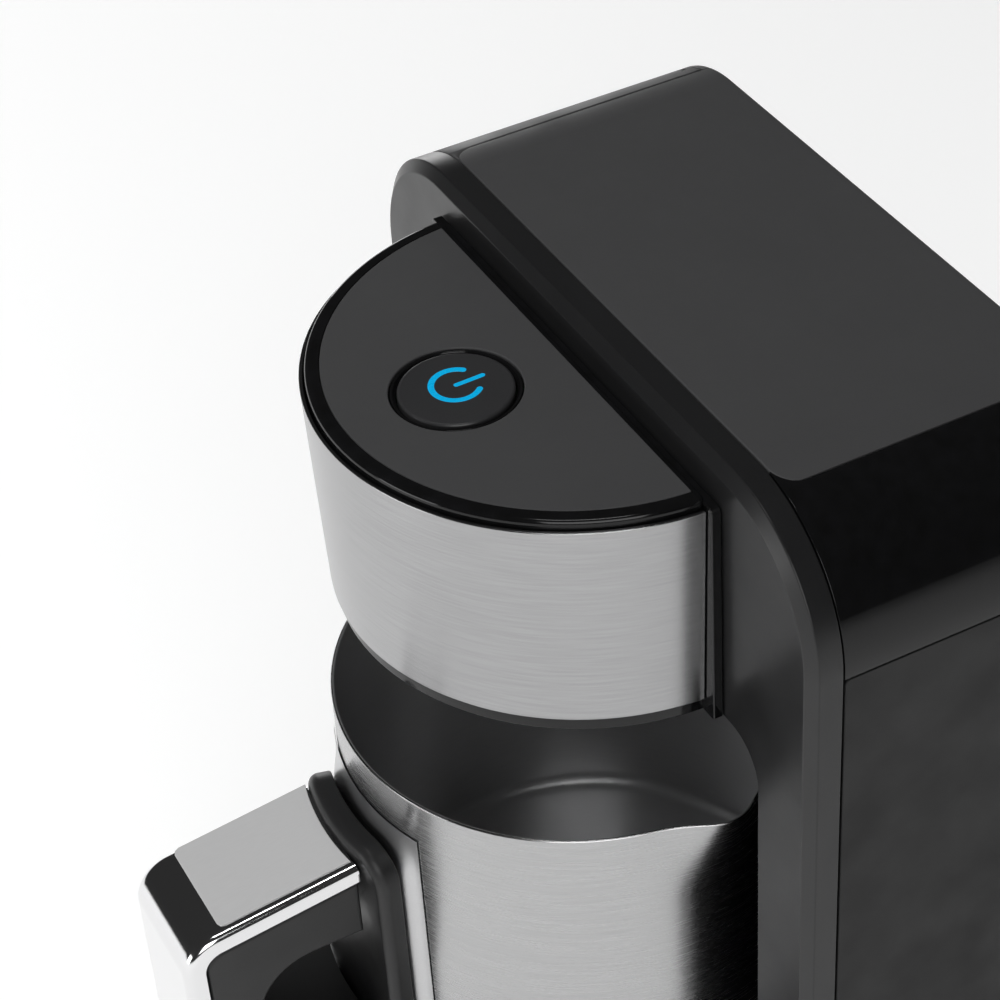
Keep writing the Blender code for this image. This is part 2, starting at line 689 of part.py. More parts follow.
def hoses():
    """The three hoses: tank to pump, pump to chamber, and gas to chamber. One route's end meets each fitting."""
    tank_to_pump = [
        (-82, 45, 202.6), (-82, 45, 180), (-86, 44, 120), (-87.5, 38, 75), (-87.5, 27, 50), (-82, 22, 32),
        (-50, 16, 28), (-20, 14, 24), (18, 8, 22), (34, -8, 26), (32, -22, 30), (20.5, -24, 30),
    ]
    hose("reservoir_hose", tank_to_pump, 2.2, "hose_plastic")
    for name, side, slot, start in (("water_hose", -1, "hose_plastic", WATER_RISE), ("co2_hose", 1, "rubber", GAS_RISE)):
        over = [(84, 12, 205), (76, 11, 226), (58, 11, 238), (38, 8, 244), (23, -8, 247), (14, -20, 248.6),
                (12, BUTTON_Y, 247), (12, BUTTON_Y, 243.4)]
        hose(name, start + [(side * x, y, z) for x, y, z in over], 2.0, slot)


# --------------------------------------------------------------------- jug

def spout(azimuth, z):
    """How far the spout pushes the wall out at an azimuth in degrees and a height."""
    across = math.exp(-((azimuth - SPOUT_AZ) / 9.0) ** 2)
    rise = min(max((z - 148.0) / (JUG_RIM - 148.0), 0.0), 1.0)
    return SPOUT_REACH * across * rise ** 1.6


def jug_shell():
    """One thin wall: down the outside, across the base, and up the inside."""
    bend = arc(JUG_R - 4, JUG_LOW + 4, 4, 0, -90, 3)
    inner_bend = arc(JUG_R - 4.9, JUG_LOW + 5.2, 4, -90, 0, 3)
    heights = (JUG_RIM, 167, 160, 153, 147)
    wall = [(JUG_R, z) for z in heights]
    profile = wall + bend + [(0, JUG_LOW), (0, JUG_LOW + 1.2)] + inner_bend
    profile += [(JUG_R - JUG_T, z) for z in reversed(heights)]
    near = [SPOUT_AZ + a for a in range(-27, 28, 3)]
    far = [SPOUT_AZ + 27 + (306 / 42) * i for i in range(1, 42)]
    azimuths = near + far
    bm = bmesh.new()
    rings = []
    for radius, z in profile:
        if radius == 0:
            rings.append([bm.verts.new((0, 0, z))] * len(azimuths))
            continue
        ring = []
        for a in azimuths:
            r = radius + spout(a, z)
            ring.append(bm.verts.new((r * math.cos(math.radians(a)), r * math.sin(math.radians(a)), z)))
        rings.append(ring)
    for a, b in zip(rings, rings[1:] + rings[:1]):
        for i in range(len(azimuths)):
            j = (i + 1) % len(azimuths)
            corners = list(dict.fromkeys((a[i], a[j], b[j], b[i])))
            if len(corners) > 2:
                bm.faces.new(corners)
    build("jug_shell", finish_mesh(bm), "brushed_steel")


def wall_pad(inner, outer, half_angle, steps=8):
    """A pad's plan that hugs the jug on its handle side."""
    return arc(0, 0, outer, 270 - half_angle, 270 + half_angle, steps) + \
        arc(0, 0, inner, 270 + half_angle, 270 - half_angle, steps)


def jug_saddle():
    build("jug_saddle", plate([wall_pad(JUG_R + GAP, 60.0, 22, 10)], 82, 161), "satin_metal")


def handle_bracket():
    build("handle_bracket", plate([wall_pad(60.3, HANDLE_ROOT - GAP, 18)], 84, 156), "black_plastic")


def trim_to_jug(obj):
    """Shapes a handle piece's inner end to the bracket."""
    combine(obj, rod((0, 0), HANDLE_ROOT, 60, 180, "Z", 72))


def handle_profile(inset):
    """The handle's side view inside an inset: root, sloping top, round corner, front, foot."""
    slope = math.atan(HANDLE_SLOPE)
    drop = math.degrees(slope)
    front = HANDLE_S - inset
    r = HANDLE_BEND_R - inset
    top_at = lambda s: HANDLE_TOP - inset / math.cos(slope) - (s - 66) * HANDLE_SLOPE
    cs = front - r
    cz = top_at(cs) - r / math.cos(slope)
    return (-62, top_at(62)), [(-s, z) for s, z in arc(cs, cz, r, 90 - drop, 0, 8)], (-front, HANDLE_LOW + inset)


def across_handle(loop, inset):
    """A solid with the given side view, as wide as the handle less an inset at each side."""
    return plate([loop], HANDLE_X - HANDLE_HALF + inset, HANDLE_X + HANDLE_HALF - inset, "X")


def handle_strap():
    root_o, bend_o, foot_o = handle_profile(0)
    root_i, bend_i, foot_i = handle_profile(STRAP_T)
    outline = [root_o] + bend_o + [(foot_o[0], HANDLE_LOW), (foot_i[0], HANDLE_LOW)] + bend_i[::-1] + [root_i]
    obj = build("handle_strap", across_handle(outline, 0), "chrome")
    floor = handle_profile(1.2)[0][1]
    end = -PLATE_END - GAP
    drop = (-62 - end) * HANDLE_SLOPE
    recess = [(-62, floor), (end, floor - drop), (end, floor + 9), (-62, floor + 9)]
    combine(obj, across_handle(recess, 2.2))
    trim_to_jug(obj)


def handle_top_plate():
    low = handle_profile(1.0)[0][1]
    high = low + 1.05
    drop = (PLATE_END - 62) * HANDLE_SLOPE
    outline = [(-62, low), (-PLATE_END, low - drop), (-PLATE_END, high - drop), (-62, high)]
    obj = build("handle_top_plate", across_handle(outline, 2.5), "satin_metal")
    trim_to_jug(obj)


def handle_grip():
    """The black loop inside the strap, with the finger opening through it."""
    root, bend, foot = handle_profile(STRAP_T + GAP)
    outline = [root] + bend + [(foot[0], HANDLE_LOW), (-62, HANDLE_LOW)]
    obj = build("handle_grip", across_handle(outline, 0.4), "black_plastic")
    hole = rounded_box(-92.5, HANDLE_LOW + 11, -50, 129.2, 8, 14, 5)
    combine(obj, plate([hole], -30, 30, "X"))
    trim_to_jug(obj)


def main():
    clear_scene()
    for make in (front_bezel, tower_shell, rear_cover, niche_liner, side_panels, reservoir_lid, lid_hinge_pin,
                 lid_gasket, water_reservoir, outlet_filter, head_band, head_shell, head_lid, head_floor,
                 head_collar, power_button, power_icon, button_ring, button_spring, tact_switch, control_board,
                 carbonation_chamber, chamber_cap, nozzle, base_shell, base_pan, feet, drip_tray, drip_grille,
                 co2_cylinder, co2_regulator, solenoid_valve, valve_plunger, pump_housing, pump_impeller,
                 pump_motor, power_supply_board, power_inlet, co2_door, rear_screws, hoses, jug_shell,
                 jug_saddle, handle_bracket, handle_strap, handle_top_plate, handle_grip):
        make()
    for obj in bpy.data.objects:
        obj.location.y -= CENTRE_Y * MM


main()
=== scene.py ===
"""Looks for the soda carbonator: fine visible pieces, materials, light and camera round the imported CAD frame.

Lengths are in millimetres in the row frame, and become metres as each mesh is made.
The handle points towards -Y, the tower stands at +Y and the spout points to +X.
"""

import json
import math

import bmesh
import bpy
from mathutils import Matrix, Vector


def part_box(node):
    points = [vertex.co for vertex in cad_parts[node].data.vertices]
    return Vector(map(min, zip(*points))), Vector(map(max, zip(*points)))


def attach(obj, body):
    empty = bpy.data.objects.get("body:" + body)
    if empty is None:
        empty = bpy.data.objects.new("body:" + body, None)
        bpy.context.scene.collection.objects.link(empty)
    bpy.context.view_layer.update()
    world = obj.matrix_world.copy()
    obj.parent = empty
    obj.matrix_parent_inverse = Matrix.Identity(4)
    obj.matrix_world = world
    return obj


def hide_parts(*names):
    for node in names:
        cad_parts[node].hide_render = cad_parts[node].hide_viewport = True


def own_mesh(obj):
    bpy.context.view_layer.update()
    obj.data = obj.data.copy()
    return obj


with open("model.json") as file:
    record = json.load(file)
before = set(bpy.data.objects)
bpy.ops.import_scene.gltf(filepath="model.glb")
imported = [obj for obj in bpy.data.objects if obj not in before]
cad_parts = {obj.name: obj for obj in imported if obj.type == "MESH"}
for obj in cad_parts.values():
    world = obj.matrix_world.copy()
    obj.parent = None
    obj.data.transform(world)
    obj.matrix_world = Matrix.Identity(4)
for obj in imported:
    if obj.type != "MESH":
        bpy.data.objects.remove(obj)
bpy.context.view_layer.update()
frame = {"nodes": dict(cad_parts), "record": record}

MM = 0.001
GAP = 0.3


def span(node):
    """A CAD node's lowest and highest corners, in millimetres."""
    low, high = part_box(node)
    return low / MM, high / MM


# ---------------------------------------------------------------- sizes

SHELL_LOW, SHELL_HIGH = span("tower_shell")
BEZEL_LOW, BEZEL_HIGH = span("front_bezel")
COVER_LOW, COVER_HIGH = span("rear_cover")
BAND_LOW, BAND_HIGH = span("head_band")
HEAD_LID_LOW, HEAD_LID_HIGH = span("head_lid")
BUTTON_LOW, BUTTON_HIGH = span("power_button")
TRAY_LOW, TRAY_HIGH = span("drip_tray")
LINER_LOW, LINER_HIGH = span("niche_liner")
LID_LOW, LID_HIGH = span("reservoir_lid")
STRAP_LOW, STRAP_HIGH = span("handle_strap")
JUG_LOW, JUG_HIGH = span("jug_shell")

TOWER_HALF = SHELL_HIGH.x
TOWER_TOP = SHELL_HIGH.z
TOWER_BOTTOM = SHELL_LOW.z
SHOULDER_R = 32.6
FOOT_CORNER_R = 3.0
WALL = 2.8
CHAMFER = (2.8, 1.9)
LID_CORNER = 6.0
EDGE_EASE = 0.15
REAR_SCREWS = ("low_left", "low_right", "high_left", "high_right")
VENT_PITCH = 10
VENT_HALF = 1.5
VENT_LOW, VENT_HIGH = 120, 160
NICHE_R = 10.0
NICHE_WALL = 2.0
NICHE_FLOOR_R = 3.0

CHORD = BAND_HIGH.y
HEAD_CY = CHORD + 4.3
HEAD_R = HEAD_CY - BAND_LOW.y
HEAD_R_LOW = HEAD_R - 1.7
LID_INSET = 1.3
RIM_WIDTH = 3.4

BUTTON_Y = (BUTTON_LOW.y + BUTTON_HIGH.y) / 2
BUTTON_R = BUTTON_HIGH.x
BUTTON_DISH = 0.35
ICON_CENTRE = (-1.3, BUTTON_Y + 0.6)
ICON_R = 5.3
ICON_STROKE = 1.4
ICON_GAP = 46
ICON_BAR = (-0.5, 6.9)

JUG_CY = CHORD
JUG_R = 57.6
JUG_WALL = 0.9
JUG_RIM = JUG_HIGH.z
SPOUT_REACH = 5.2
SPOUT_AZ = 5.0
SPOUT_WIDTH = 9.0
SPOUT_START = 148.0
HANDLE_X = (STRAP_LOW.x + STRAP_HIGH.x) / 2
HANDLE_HALF = (STRAP_HIGH.x - STRAP_LOW.x) / 2
HANDLE_S = JUG_CY - STRAP_LOW.y
HANDLE_ROOT = 66.3
HANDLE_TOP = 151.0
HANDLE_LOW = STRAP_LOW.z
HANDLE_SLOPE = 0.11
HANDLE_BEND = 10.0
STRAP_T = 5.0
PLATE_END = 98.9
BRACKET_INNER = 60.3
BRACKET_TURN = 18.0
SADDLE_TURN = 22
FINGER_OUT = 92.5
FINGER_TOP = 129.2
FINGER_LIFT = 11
FINGER_LOW_R = 8
FINGER_TOP_R = 14

BASE_CY = BEZEL_LOW.y
BASE_R = TRAY_HIGH.x
SLOT_PITCH = 10
SLOT_HALF = 2.2
SLOT_REACH = 58


# ------------------------------------------------------------- outlines

def arc(cx, cy, radius, start, end, steps):
    """Points on an arc, in degrees, both ends included."""
    angles = [math.radians(start + (end - start) * i / steps) for i in range(steps + 1)]
    return [(cx + radius * math.cos(a), cy + radius * math.sin(a)) for a in angles]


def circle(cx, cy, radius, steps=64):
    return arc(cx, cy, radius, 0, 360 - 360 / steps, steps - 1)


def rounded_box(x0, y0, x1, y1, low_r, top_r=None, steps=8):
    """An anticlockwise rectangle with one radius on its lower corners and one on its upper corners."""
    top_r = low_r if top_r is None else top_r
    corners = ((x1 - low_r, y0 + low_r, low_r, -90), (x1 - top_r, y1 - top_r, top_r, 0),
               (x0 + top_r, y1 - top_r, top_r, 90), (x0 + low_r, y0 + low_r, low_r, 180))
    return [p for cx, cy, r, start in corners for p in arc(cx, cy, r, start, start + 90, steps)]


def half_disc(radius, centre_y, chord, corner=0.8, steps=120):
    """The part of a disc in front of a straight chord, with its two corners rounded."""
    cy = chord - corner
    cx = math.sqrt((radius - corner) ** 2 - (cy - centre_y) ** 2)
    turn = math.degrees(math.atan2(cy - centre_y, cx))
    left = arc(-cx, cy, corner, 90, 180 - turn, 6)
    right = arc(cx, cy, corner, 360 + turn, 450, 6)
    return left + arc(0, centre_y, radius, 180 - turn, 360 + turn, steps)[1:-1] + right


def divide(loop, longest):
    """Adds points along an outline's long edges."""
    points = []
    for i, here in enumerate(loop):
        a, b = Vector(here), Vector(loop[(i + 1) % len(loop)])
        parts = max(1, math.ceil((b - a).length / longest))
        points += [tuple(a.lerp(b, k / parts)) for k in range(parts)]
    return points


def offset(loop, distance):
    """Moves an anticlockwise outline inwards by a distance, keeping its points."""
    moved = []
    for i, point in enumerate(loop):
        here = Vector(point)
        before = (here - Vector(loop[i - 1])).normalized()
        after = (Vector(loop[(i + 1) % len(loop)]) - here).normalized()
        left = Vector((-before.y - after.y, before.x + after.x))
        moved.append(tuple(here + left * distance / max(1 + before.dot(after), 0.3)))
    return moved


def fillet(size, steps=4):
    """(inset, drop) pairs from a face's edge down to its side wall: a quarter round."""
    turns = [math.pi / 2 * i / steps for i in range(steps + 1)]
    return [(size * (1 - math.sin(t)), size * (1 - math.cos(t))) for t in turns]


def tower_outline(inset, steps=20):
    return rounded_box(-TOWER_HALF + inset, TOWER_BOTTOM + inset, TOWER_HALF - inset, TOWER_TOP - inset,
                       max(FOOT_CORNER_R - inset, 0.3), SHOULDER_R - inset, steps)


def shoulder_top(x):
    """The height of the tower's top at a distance from its middle."""
    over = max(abs(x) - (TOWER_HALF - SHOULDER_R), 0)
    return TOWER_TOP - SHOULDER_R + math.sqrt(SHOULDER_R ** 2 - over ** 2)


def niche_outline(inset, steps=14):
    half, low, high = LINER_HIGH.x - NICHE_WALL, LINER_LOW.z + NICHE_WALL, LINER_HIGH.z - NICHE_WALL
    return rounded_box(-half + inset, low + inset, half - inset, high - inset,
                       max(1.0 - inset, 0.3), max(NICHE_R - inset, 0.3), steps)


# --------------------------------------------------------------- meshes

def place(u, v, w, axis):
    """A point of an outline drawn at height w along an axis."""
    return {"X": (w, u, v), "Y": (u, w, v), "Z": (u, v, w)}[axis]


def join_rings(bm, rings, closed=True, loop=False):
    """Quads between rings of vertices. loop also joins the last ring to the first."""
    for a, b in list(zip(rings, rings[1:])) + ([(rings[-1], rings[0])] if loop else []):
        for i in range(len(a) if closed else len(a) - 1):
            j = (i + 1) % len(a)
            bm.faces.new((a[i], a[j], b[j], b[i]))


def cap(bm, loops):
    """Closes an end: the first loop is its edge and the others are holes."""
    if len(loops) == 1:
        bm.faces.new(loops[0])
        return
    edges = [bm.edges.get((a, b)) for ring in loops for a, b in zip(ring, ring[1:] + ring[:1])]
    bmesh.ops.triangle_fill(bm, use_beauty=True, edges=edges)


def skin(rings, closed=True, loop=False, caps=True):
    """A surface through rings of 3-D points."""
    bm = bmesh.new()
    made = [[bm.verts.new(p) for p in ring] for ring in rings]
    join_rings(bm, made, closed, loop)
    if caps:
        cap(bm, [made[0]])
        cap(bm, [made[-1]])
    return bm


def slab(outline, low, high, axis="Z", edge=0.4, far_edge=None, holes=(), hole_edge=0.3):
    """A plate with rounded edges. edge is its lower edge's radius and far_edge its upper edge's."""
    far_edge = edge if far_edge is None else far_edge
    bm = bmesh.new()
    ends = ([], [])
    for loop in (outline, *holes):
        outer = loop is outline
        near, far = (edge, far_edge) if outer else (hole_edge, hole_edge)
        levels = [(inset, low + drop) for inset, drop in fillet(near)]
        levels += [(inset, high - drop) for inset, drop in reversed(fillet(far))]
        rings = [[bm.verts.new(place(u, v, w, axis)) for u, v in offset(loop, inset if outer else -inset)]
                 for inset, w in levels]
        join_rings(bm, rings)
        ends[0].append(rings[0])
        ends[1].append(rings[-1])
    for loops in ends:
        cap(bm, loops)
    return bm


def lathe(profile, centre, axis="Z", steps=96):
    """Turns a closed (radius, height) profile about an axis."""
    rings = [[place(u, v, height, axis) for u, v in circle(*centre, max(radius, 0), steps)]
             for radius, height in profile]
    return skin(rings, loop=True, caps=False)


def soften(points, steps=4):
    """An outline whose corners (x, y, size) are rounded; a corner with no size stays sharp."""
    out = []
    for i, point in enumerate(points):
        here = Vector(point[:2])
        if len(point) < 3:
            out.append(tuple(here))
            continue
        ends = []
        for other in (points[i - 1], points[(i + 1) % len(points)]):
            along = Vector(other[:2]) - here
            ends.append(here + along.normalized() * min(point[2], 0.48 * along.length))
        for k in range(steps + 1):
            t = k / steps
            out.append(tuple((1 - t) ** 2 * ends[0] + 2 * t * (1 - t) * here + t * t * ends[1]))
    return out


def fuse(*parts):
    """Several closed shapes in one mesh."""
    whole = bmesh.new()
    for part in parts:
        mesh = bpy.data.meshes.new("part")
        part.to_mesh(mesh)
        part.free()
        whole.from_mesh(mesh)
        bpy.data.meshes.remove(mesh)
    return whole


def piece(name, bm, slot, body, nodes, look=None, solid=0, bevel=0):
    """Makes a visible piece in place of CAD nodes. solid thickens an open skin inwards."""
    bmesh.ops.remove_doubles(bm, verts=bm.verts, dist=0.002)
    bmesh.ops.dissolve_degenerate(bm, edges=bm.edges, dist=0.0005)
    if not solid:
        bmesh.ops.recalc_face_normals(bm, faces=bm.faces)
    bmesh.ops.scale(bm, verts=bm.verts, vec=(MM, MM, MM))
    mesh = bpy.data.meshes.new(name)
    bm.to_mesh(mesh)
    bm.free()
    mesh.shade_smooth()
    mesh.set_sharp_from_angle(angle=math.radians(38))
    for each in look if isinstance(look, tuple) else (look or LOOKS[slot],):
        mesh.materials.append(each)
    obj = bpy.data.objects.new(name, mesh)
    bpy.context.scene.collection.objects.link(obj)
    if solid:
        thick = obj.modifiers.new("thickness", "SOLIDIFY")
        thick.thickness, thick.offset, thick.use_even_offset = solid * MM, -1, True
    if bevel:
        edges = obj.modifiers.new("edges", "BEVEL")
        edges.width, edges.segments, edges.limit_method = bevel * MM, 2, "ANGLE"
        edges.angle_limit, edges.use_clamp_overlap = math.radians(45), False
    weighted = obj.modifiers.new("normals", "WEIGHTED_NORMAL")
    weighted.keep_sharp = True
    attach(obj, body)
    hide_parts(*nodes)
    return obj


# ------------------------------------------------------------ materials

class Look:
    """A Principled material, with short ways to add the nodes that give it its detail."""

    def __init__(self, name, roughness, metallic=0.0, **sockets):
        self.material = bpy.data.materials.new(name)
        self.material.use_nodes = True
        self.tree = self.material.node_tree
        self.shader = self.tree.nodes["Principled BSDF"]
        self.shader.inputs["Metallic"].default_value = metallic
        self.shader.inputs["Roughness"].default_value = roughness
        for socket, value in sockets.items():
            self.shader.inputs[socket.replace("_", " ")].default_value = value
        self.where = self.add("ShaderNodeTexCoord").outputs["Object"]
        self.height = None

    def add(self, kind, inputs=(), **settings):
        node = self.tree.nodes.new(kind)
        for key, value in settings.items():
            setattr(node, key, value)
        for key, value in dict(inputs).items():
            if isinstance(value, bpy.types.NodeSocket):
                self.tree.links.new(value, node.inputs[key])
            else:
                node.inputs[key].default_value = value
        return node

    def noise(self, scale, stretch=(1, 1, 1), detail=3.0):
        """Noise whose grains are 1/scale metres, drawn out along the axes with a small stretch."""
        mapped = self.add("ShaderNodeMapping", {"Vector": self.where, "Scale": stretch}).outputs["Vector"]
        inputs = {"Vector": mapped, "Scale": scale, "Detail": detail}
        return self.add("ShaderNodeTexNoise", inputs).outputs["Fac"]

    def between(self, value, low, high, from_low=0.3, from_high=0.7):
        inputs = {"Value": value, "From Min": from_low, "From Max": from_high, "To Min": low, "To Max": high}
        return self.add("ShaderNodeMapRange", inputs).outputs["Result"]

    def maths(self, operation, a, b):
        return self.add("ShaderNodeMath", {0: a, 1: b}, operation=operation).outputs[0]

    def blend(self, factor, a, b):
        mix = self.add("ShaderNodeMix", {0: factor, 6: (*a, 1.0), 7: (*b, 1.0)}, data_type="RGBA")
        return mix.outputs[2]

    def link(self, socket, value):
        self.tree.links.new(value, self.shader.inputs[socket])

    def bump(self, value, depth, strength=1.0):
        """Adds relief of a depth in millimetres on top of the relief so far."""
        inputs = {"Height": value, "Distance": depth * MM, "Strength": strength}
        if self.height:
            inputs["Normal"] = self.height
        self.height = self.add("ShaderNodeBump", inputs).outputs["Normal"]
        self.link("Normal", self.height)


def plastic(name, dark, light, roughness, grain, relief, specular=0.5, **sockets):
    """Moulded plastic: a fine surface grain, faint flow marks, and finger marks in the gloss."""
    look = Look(name, roughness, Specular_IOR_Level=specular, **sockets)
    flow = look.noise(28, detail=4)
    fine = look.noise(grain, detail=2)
    tint = look.maths("ADD", look.maths("MULTIPLY", flow, 0.25), look.maths("MULTIPLY", fine, 0.75))
    look.link("Base Color", look.blend(look.between(tint, 0, 1), dark, light))
    smudge = look.between(look.noise(70, detail=5), -0.12, 0.16)
    finish = look.maths("MULTIPLY", look.maths("ADD", smudge, 1.0), roughness)
    look.link("Roughness", finish)
    look.bump(fine, relief, 0.6)
    return look.material


def brushed(name, colour, roughness, anisotropy, centre=None, along="X", streak=3200, spread=0.03,
            metallic=1.0, relief=0.003):
    """Brushed metal. Streaks run round a vertical axis at centre, or along X, Y or Z."""
    look = Look(name, roughness, metallic, Anisotropic=anisotropy)
    slow = 70.0 / streak
    stretch = {"round": (slow, slow, 1), "X": (slow, 1, 1), "Y": (1, slow, 1), "Z": (1, 1, slow)}
    lie = "round" if centre else along
    streaks = look.noise(streak, stretch[lie], 2)
    cloud = look.noise(22, detail=3)
    tone = look.maths("ADD", look.maths("MULTIPLY", streaks, 0.75), look.maths("MULTIPLY", cloud, 0.25))
    dark, light = [c * (1 - spread) for c in colour], [min(c * (1 + spread), 1) for c in colour]
    look.link("Base Color", look.blend(look.between(tone, 0, 1, 0.35, 0.65), dark, light))
    look.link("Roughness", look.between(tone, roughness * 0.9, roughness * 1.1, 0.35, 0.65))
    look.bump(streaks, relief, 0.3)
    if anisotropy:
        if centre:
            middle = (0, centre * MM, 0)
            out = look.add("ShaderNodeVectorMath", {0: look.where, 1: middle}, operation="SUBTRACT").outputs[0]
            lines = look.add("ShaderNodeVectorMath", {0: (0, 0, 1), 1: out}, operation="CROSS_PRODUCT")
            lines = lines.outputs[0]
        else:
            lines = {"X": (1, 0, 0), "Y": (0, 1, 0), "Z": (0, 0, 1)}[along]
        normal = look.add("ShaderNodeNewGeometry").outputs["Normal"]
        across = look.add("ShaderNodeVectorMath", {0: normal, 1: lines}, operation="CROSS_PRODUCT")
        look.link("Tangent", across.outputs[0])
    return look.material


def polished(name, colour, roughness):
    """Plated metal with hairline scratches and faint haze."""
    look = Look(name, roughness, 1.0)
    haze = look.noise(60, detail=5)
    hairs = look.noise(2200, (1, 0.03, 0.5), 2)
    look.link("Base Color", look.blend(haze, [c * 0.96 for c in colour], colour))
    look.link("Roughness", look.between(look.maths("MAXIMUM", haze, hairs), roughness * 0.6, roughness * 1.6))
    look.bump(hairs, 0.003, 0.3)
    return look.material


def clear(name, colour, roughness, transmission):
    """Clear moulded plastic with faint flow lines."""
    look = Look(name, roughness, Transmission_Weight=transmission, IOR=1.46)
    flow = look.noise(40, (1, 1, 0.2), 4)
    look.link("Base Color", look.blend(flow, [c * 0.9 for c in colour], colour))
    look.link("Roughness", look.between(flow, roughness * 0.7, roughness * 1.4))
    look.bump(flow, 0.05, 0.3)
    return look.material


def board(name):
    """Green solder mask over a pattern of copper tracks."""
    look = Look(name, 0.35)
    mapped = look.add("ShaderNodeMapping", {"Vector": look.where, "Scale": (260, 200, 1)}).outputs["Vector"]
    inputs = {"Vector": mapped, "Scale": 1.0, "Mortar Size": 0.05}
    tracks = look.add("ShaderNodeTexBrick", inputs).outputs["Fac"]
    look.link("Base Color", look.blend(tracks, (0.006, 0.05, 0.02), (0.03, 0.16, 0.06)))
    look.link("Roughness", look.between(look.noise(300), 0.28, 0.45))
    look.bump(tracks, 0.04, 0.5)
    return look.material


def inlay(name):
    """A clear blue light-pipe, lit from below, its glow varying a little at random."""
    look = Look(name, 0.25, Emission_Strength=0.8)
    glow = look.noise(900, detail=2)
    look.link("Base Color", look.blend(glow, (0.0, 0.07, 0.15), (0.0, 0.09, 0.18)))
    look.link("Emission Color", look.blend(glow, (0.0, 0.36, 0.66), (0.006, 0.40, 0.71)))
    look.link("Roughness", look.between(glow, 0.2, 0.35))
    look.bump(glow, 0.01, 0.3)
    return look.material


def make_looks():
    steel = (0.38, 0.38, 0.384)
    grey, pale_grey = (0.21, 0.22, 0.235), (0.27, 0.28, 0.30)
    black, pale_black = (0.042, 0.042, 0.043), (0.048, 0.048, 0.049)
    looks = {
        "gloss_black": plastic("gloss_black", (0.0035,) * 3, (0.0055, 0.0055, 0.006), 0.09, 260, 0.004, 0.32),
        "matte_black": plastic("matte_black", black, pale_black, 0.50, 3800, 0.02, 0.35),
        "black_plastic": plastic("black_plastic", (0.010,) * 3, (0.014, 0.014, 0.0145), 0.42, 3000, 0.02, 0.4),
        "satin_metal": brushed("satin_metal", (0.58, 0.58, 0.585), 0.34, 0.0, along="X"),
        "chrome": polished("chrome", (0.78, 0.78, 0.785), 0.09),
        "brass": brushed("brass", (0.62, 0.43, 0.17), 0.28, 0.0, along="Z", streak=1600),
        "white_plastic": plastic("white_plastic", (0.66, 0.66, 0.63), (0.74, 0.74, 0.72), 0.4, 1500, 0.02),
        "clear_plastic": clear("clear_plastic", (0.80, 0.86, 0.89), 0.12, 0.85),
        "hose_plastic": clear("hose_plastic", (0.74, 0.76, 0.76), 0.3, 0.55),
        "circuit_board": board("circuit_board"),
        "rubber": plastic("rubber", (0.013,) * 3, (0.022,) * 3, 0.78, 900, 0.05, 0.3),
        "grey_cylinder": plastic("grey_cylinder", grey, pale_grey, 0.34, 700, 0.03, Metallic=0.7),
        "blue_inlay": inlay("blue_inlay"),
        "brushed_steel": brushed("brushed_steel", steel, 0.24, 0.75, centre=HEAD_CY, streak=3000, spread=0.08,
                                 relief=0.002),
    }
    return looks


LOOKS = make_looks()
BUTTON_LOOK = plastic("button_satin", (0.022, 0.022, 0.023), (0.027, 0.027, 0.028), 0.30, 2600, 0.008, 0.5)
# The front plate's black: a real satin finish, smoother than matte_black, with its colour painted much darker
# than matte_black as painted shade on the front face.
BEZEL_SHADED_LOOK = plastic("bezel_satin_painted_shade", (0.009, 0.009, 0.0093), (0.012, 0.012, 0.0125), 0.32, 2600, 0.01, 0.4)
# The side panels' matte black, painted far darker than the top panel's matte_black: painted shade for the sides
# turned away from the key light.
FLANK_SHADED_LOOK = plastic("flank_painted_shade", (0.005, 0.005, 0.0051), (0.0075, 0.0075, 0.0077), 0.55, 3800, 0.02, 0.35)
JUG_LOOK = brushed("jug_steel", (0.45, 0.45, 0.453), 0.26, 0.6, centre=JUG_CY, streak=3000, spread=0.06,
                   relief=0.001)
# The jug's inside: its steel painted lighter than the outside and made partly diffuse (metallic 0.8). This is
# painted light that lifts the interior shaded under the head.
JUG_INSIDE_LIT_LOOK = brushed("jug_inside_painted_light", (0.56, 0.56, 0.565), 0.34, 0.6, centre=JUG_CY, metallic=0.8)
PLATE_LOOK = brushed("plate_satin", (0.56, 0.56, 0.562), 0.45, 0.0, along="Y", spread=0.02, metallic=0.3)


# ---------------------------------------------------------------- tower

def front_bezel():
    face, back = BEZEL_LOW.y, BEZEL_HIGH.y
    reach, depth = CHAMFER
    inner = reach + 0.5
    section = soften([(inner + 2, face), (reach, face, 0.25), (0, face + depth, 0.3), (0, back, 0.35),
                      (WALL, back, 0.3), (WALL, face + WALL)], 5)
    bm = bmesh.new()
    rings = [[bm.verts.new(place(u, v, y, "Y")) for u, v in tower_outline(inset)] for inset, y in section]
    join_rings(bm, rings)
    levels = [(-inset, face + drop) for inset, drop in fillet(0.6)] + [(0, face + WALL)]
    edge = [[bm.verts.new(place(u, v, y, "Y")) for u, v in niche_outline(inset)] for inset, y in levels]
    join_rings(bm, edge)
    cap(bm, [rings[0], edge[0]])
    cap(bm, [rings[-1], edge[-1]])
    # The front plate takes the darker satin copy, whose colour is painted shade.
    piece("bezel", bm, "matte_black", "housing", ["front_bezel"], BEZEL_SHADED_LOOK)


def shell_points():
    """The tower's outline with a point at each edge of the lid, panel and door openings."""
    panel_low, panel_high = span("side_panel_right")
    door_low, door_high = span("co2_door")
    sides = [door_low.z - GAP, door_high.z + GAP, panel_low.z - GAP, panel_high.z + GAP]
    tangent = TOWER_HALF - SHOULDER_R
    lip = math.degrees(math.asin((LID_HIGH.x + GAP - tangent) / SHOULDER_R))
    low = TOWER_BOTTOM + FOOT_CORNER_R
    right = arc(TOWER_HALF - FOOT_CORNER_R, low, FOOT_CORNER_R, -90, 0, 8) + [(TOWER_HALF, z) for z in sides]
    right += arc(tangent, TOWER_TOP - SHOULDER_R, SHOULDER_R, 0, 90 - lip, 48)
    return right + [(-x, z) for x, z in reversed(right)]


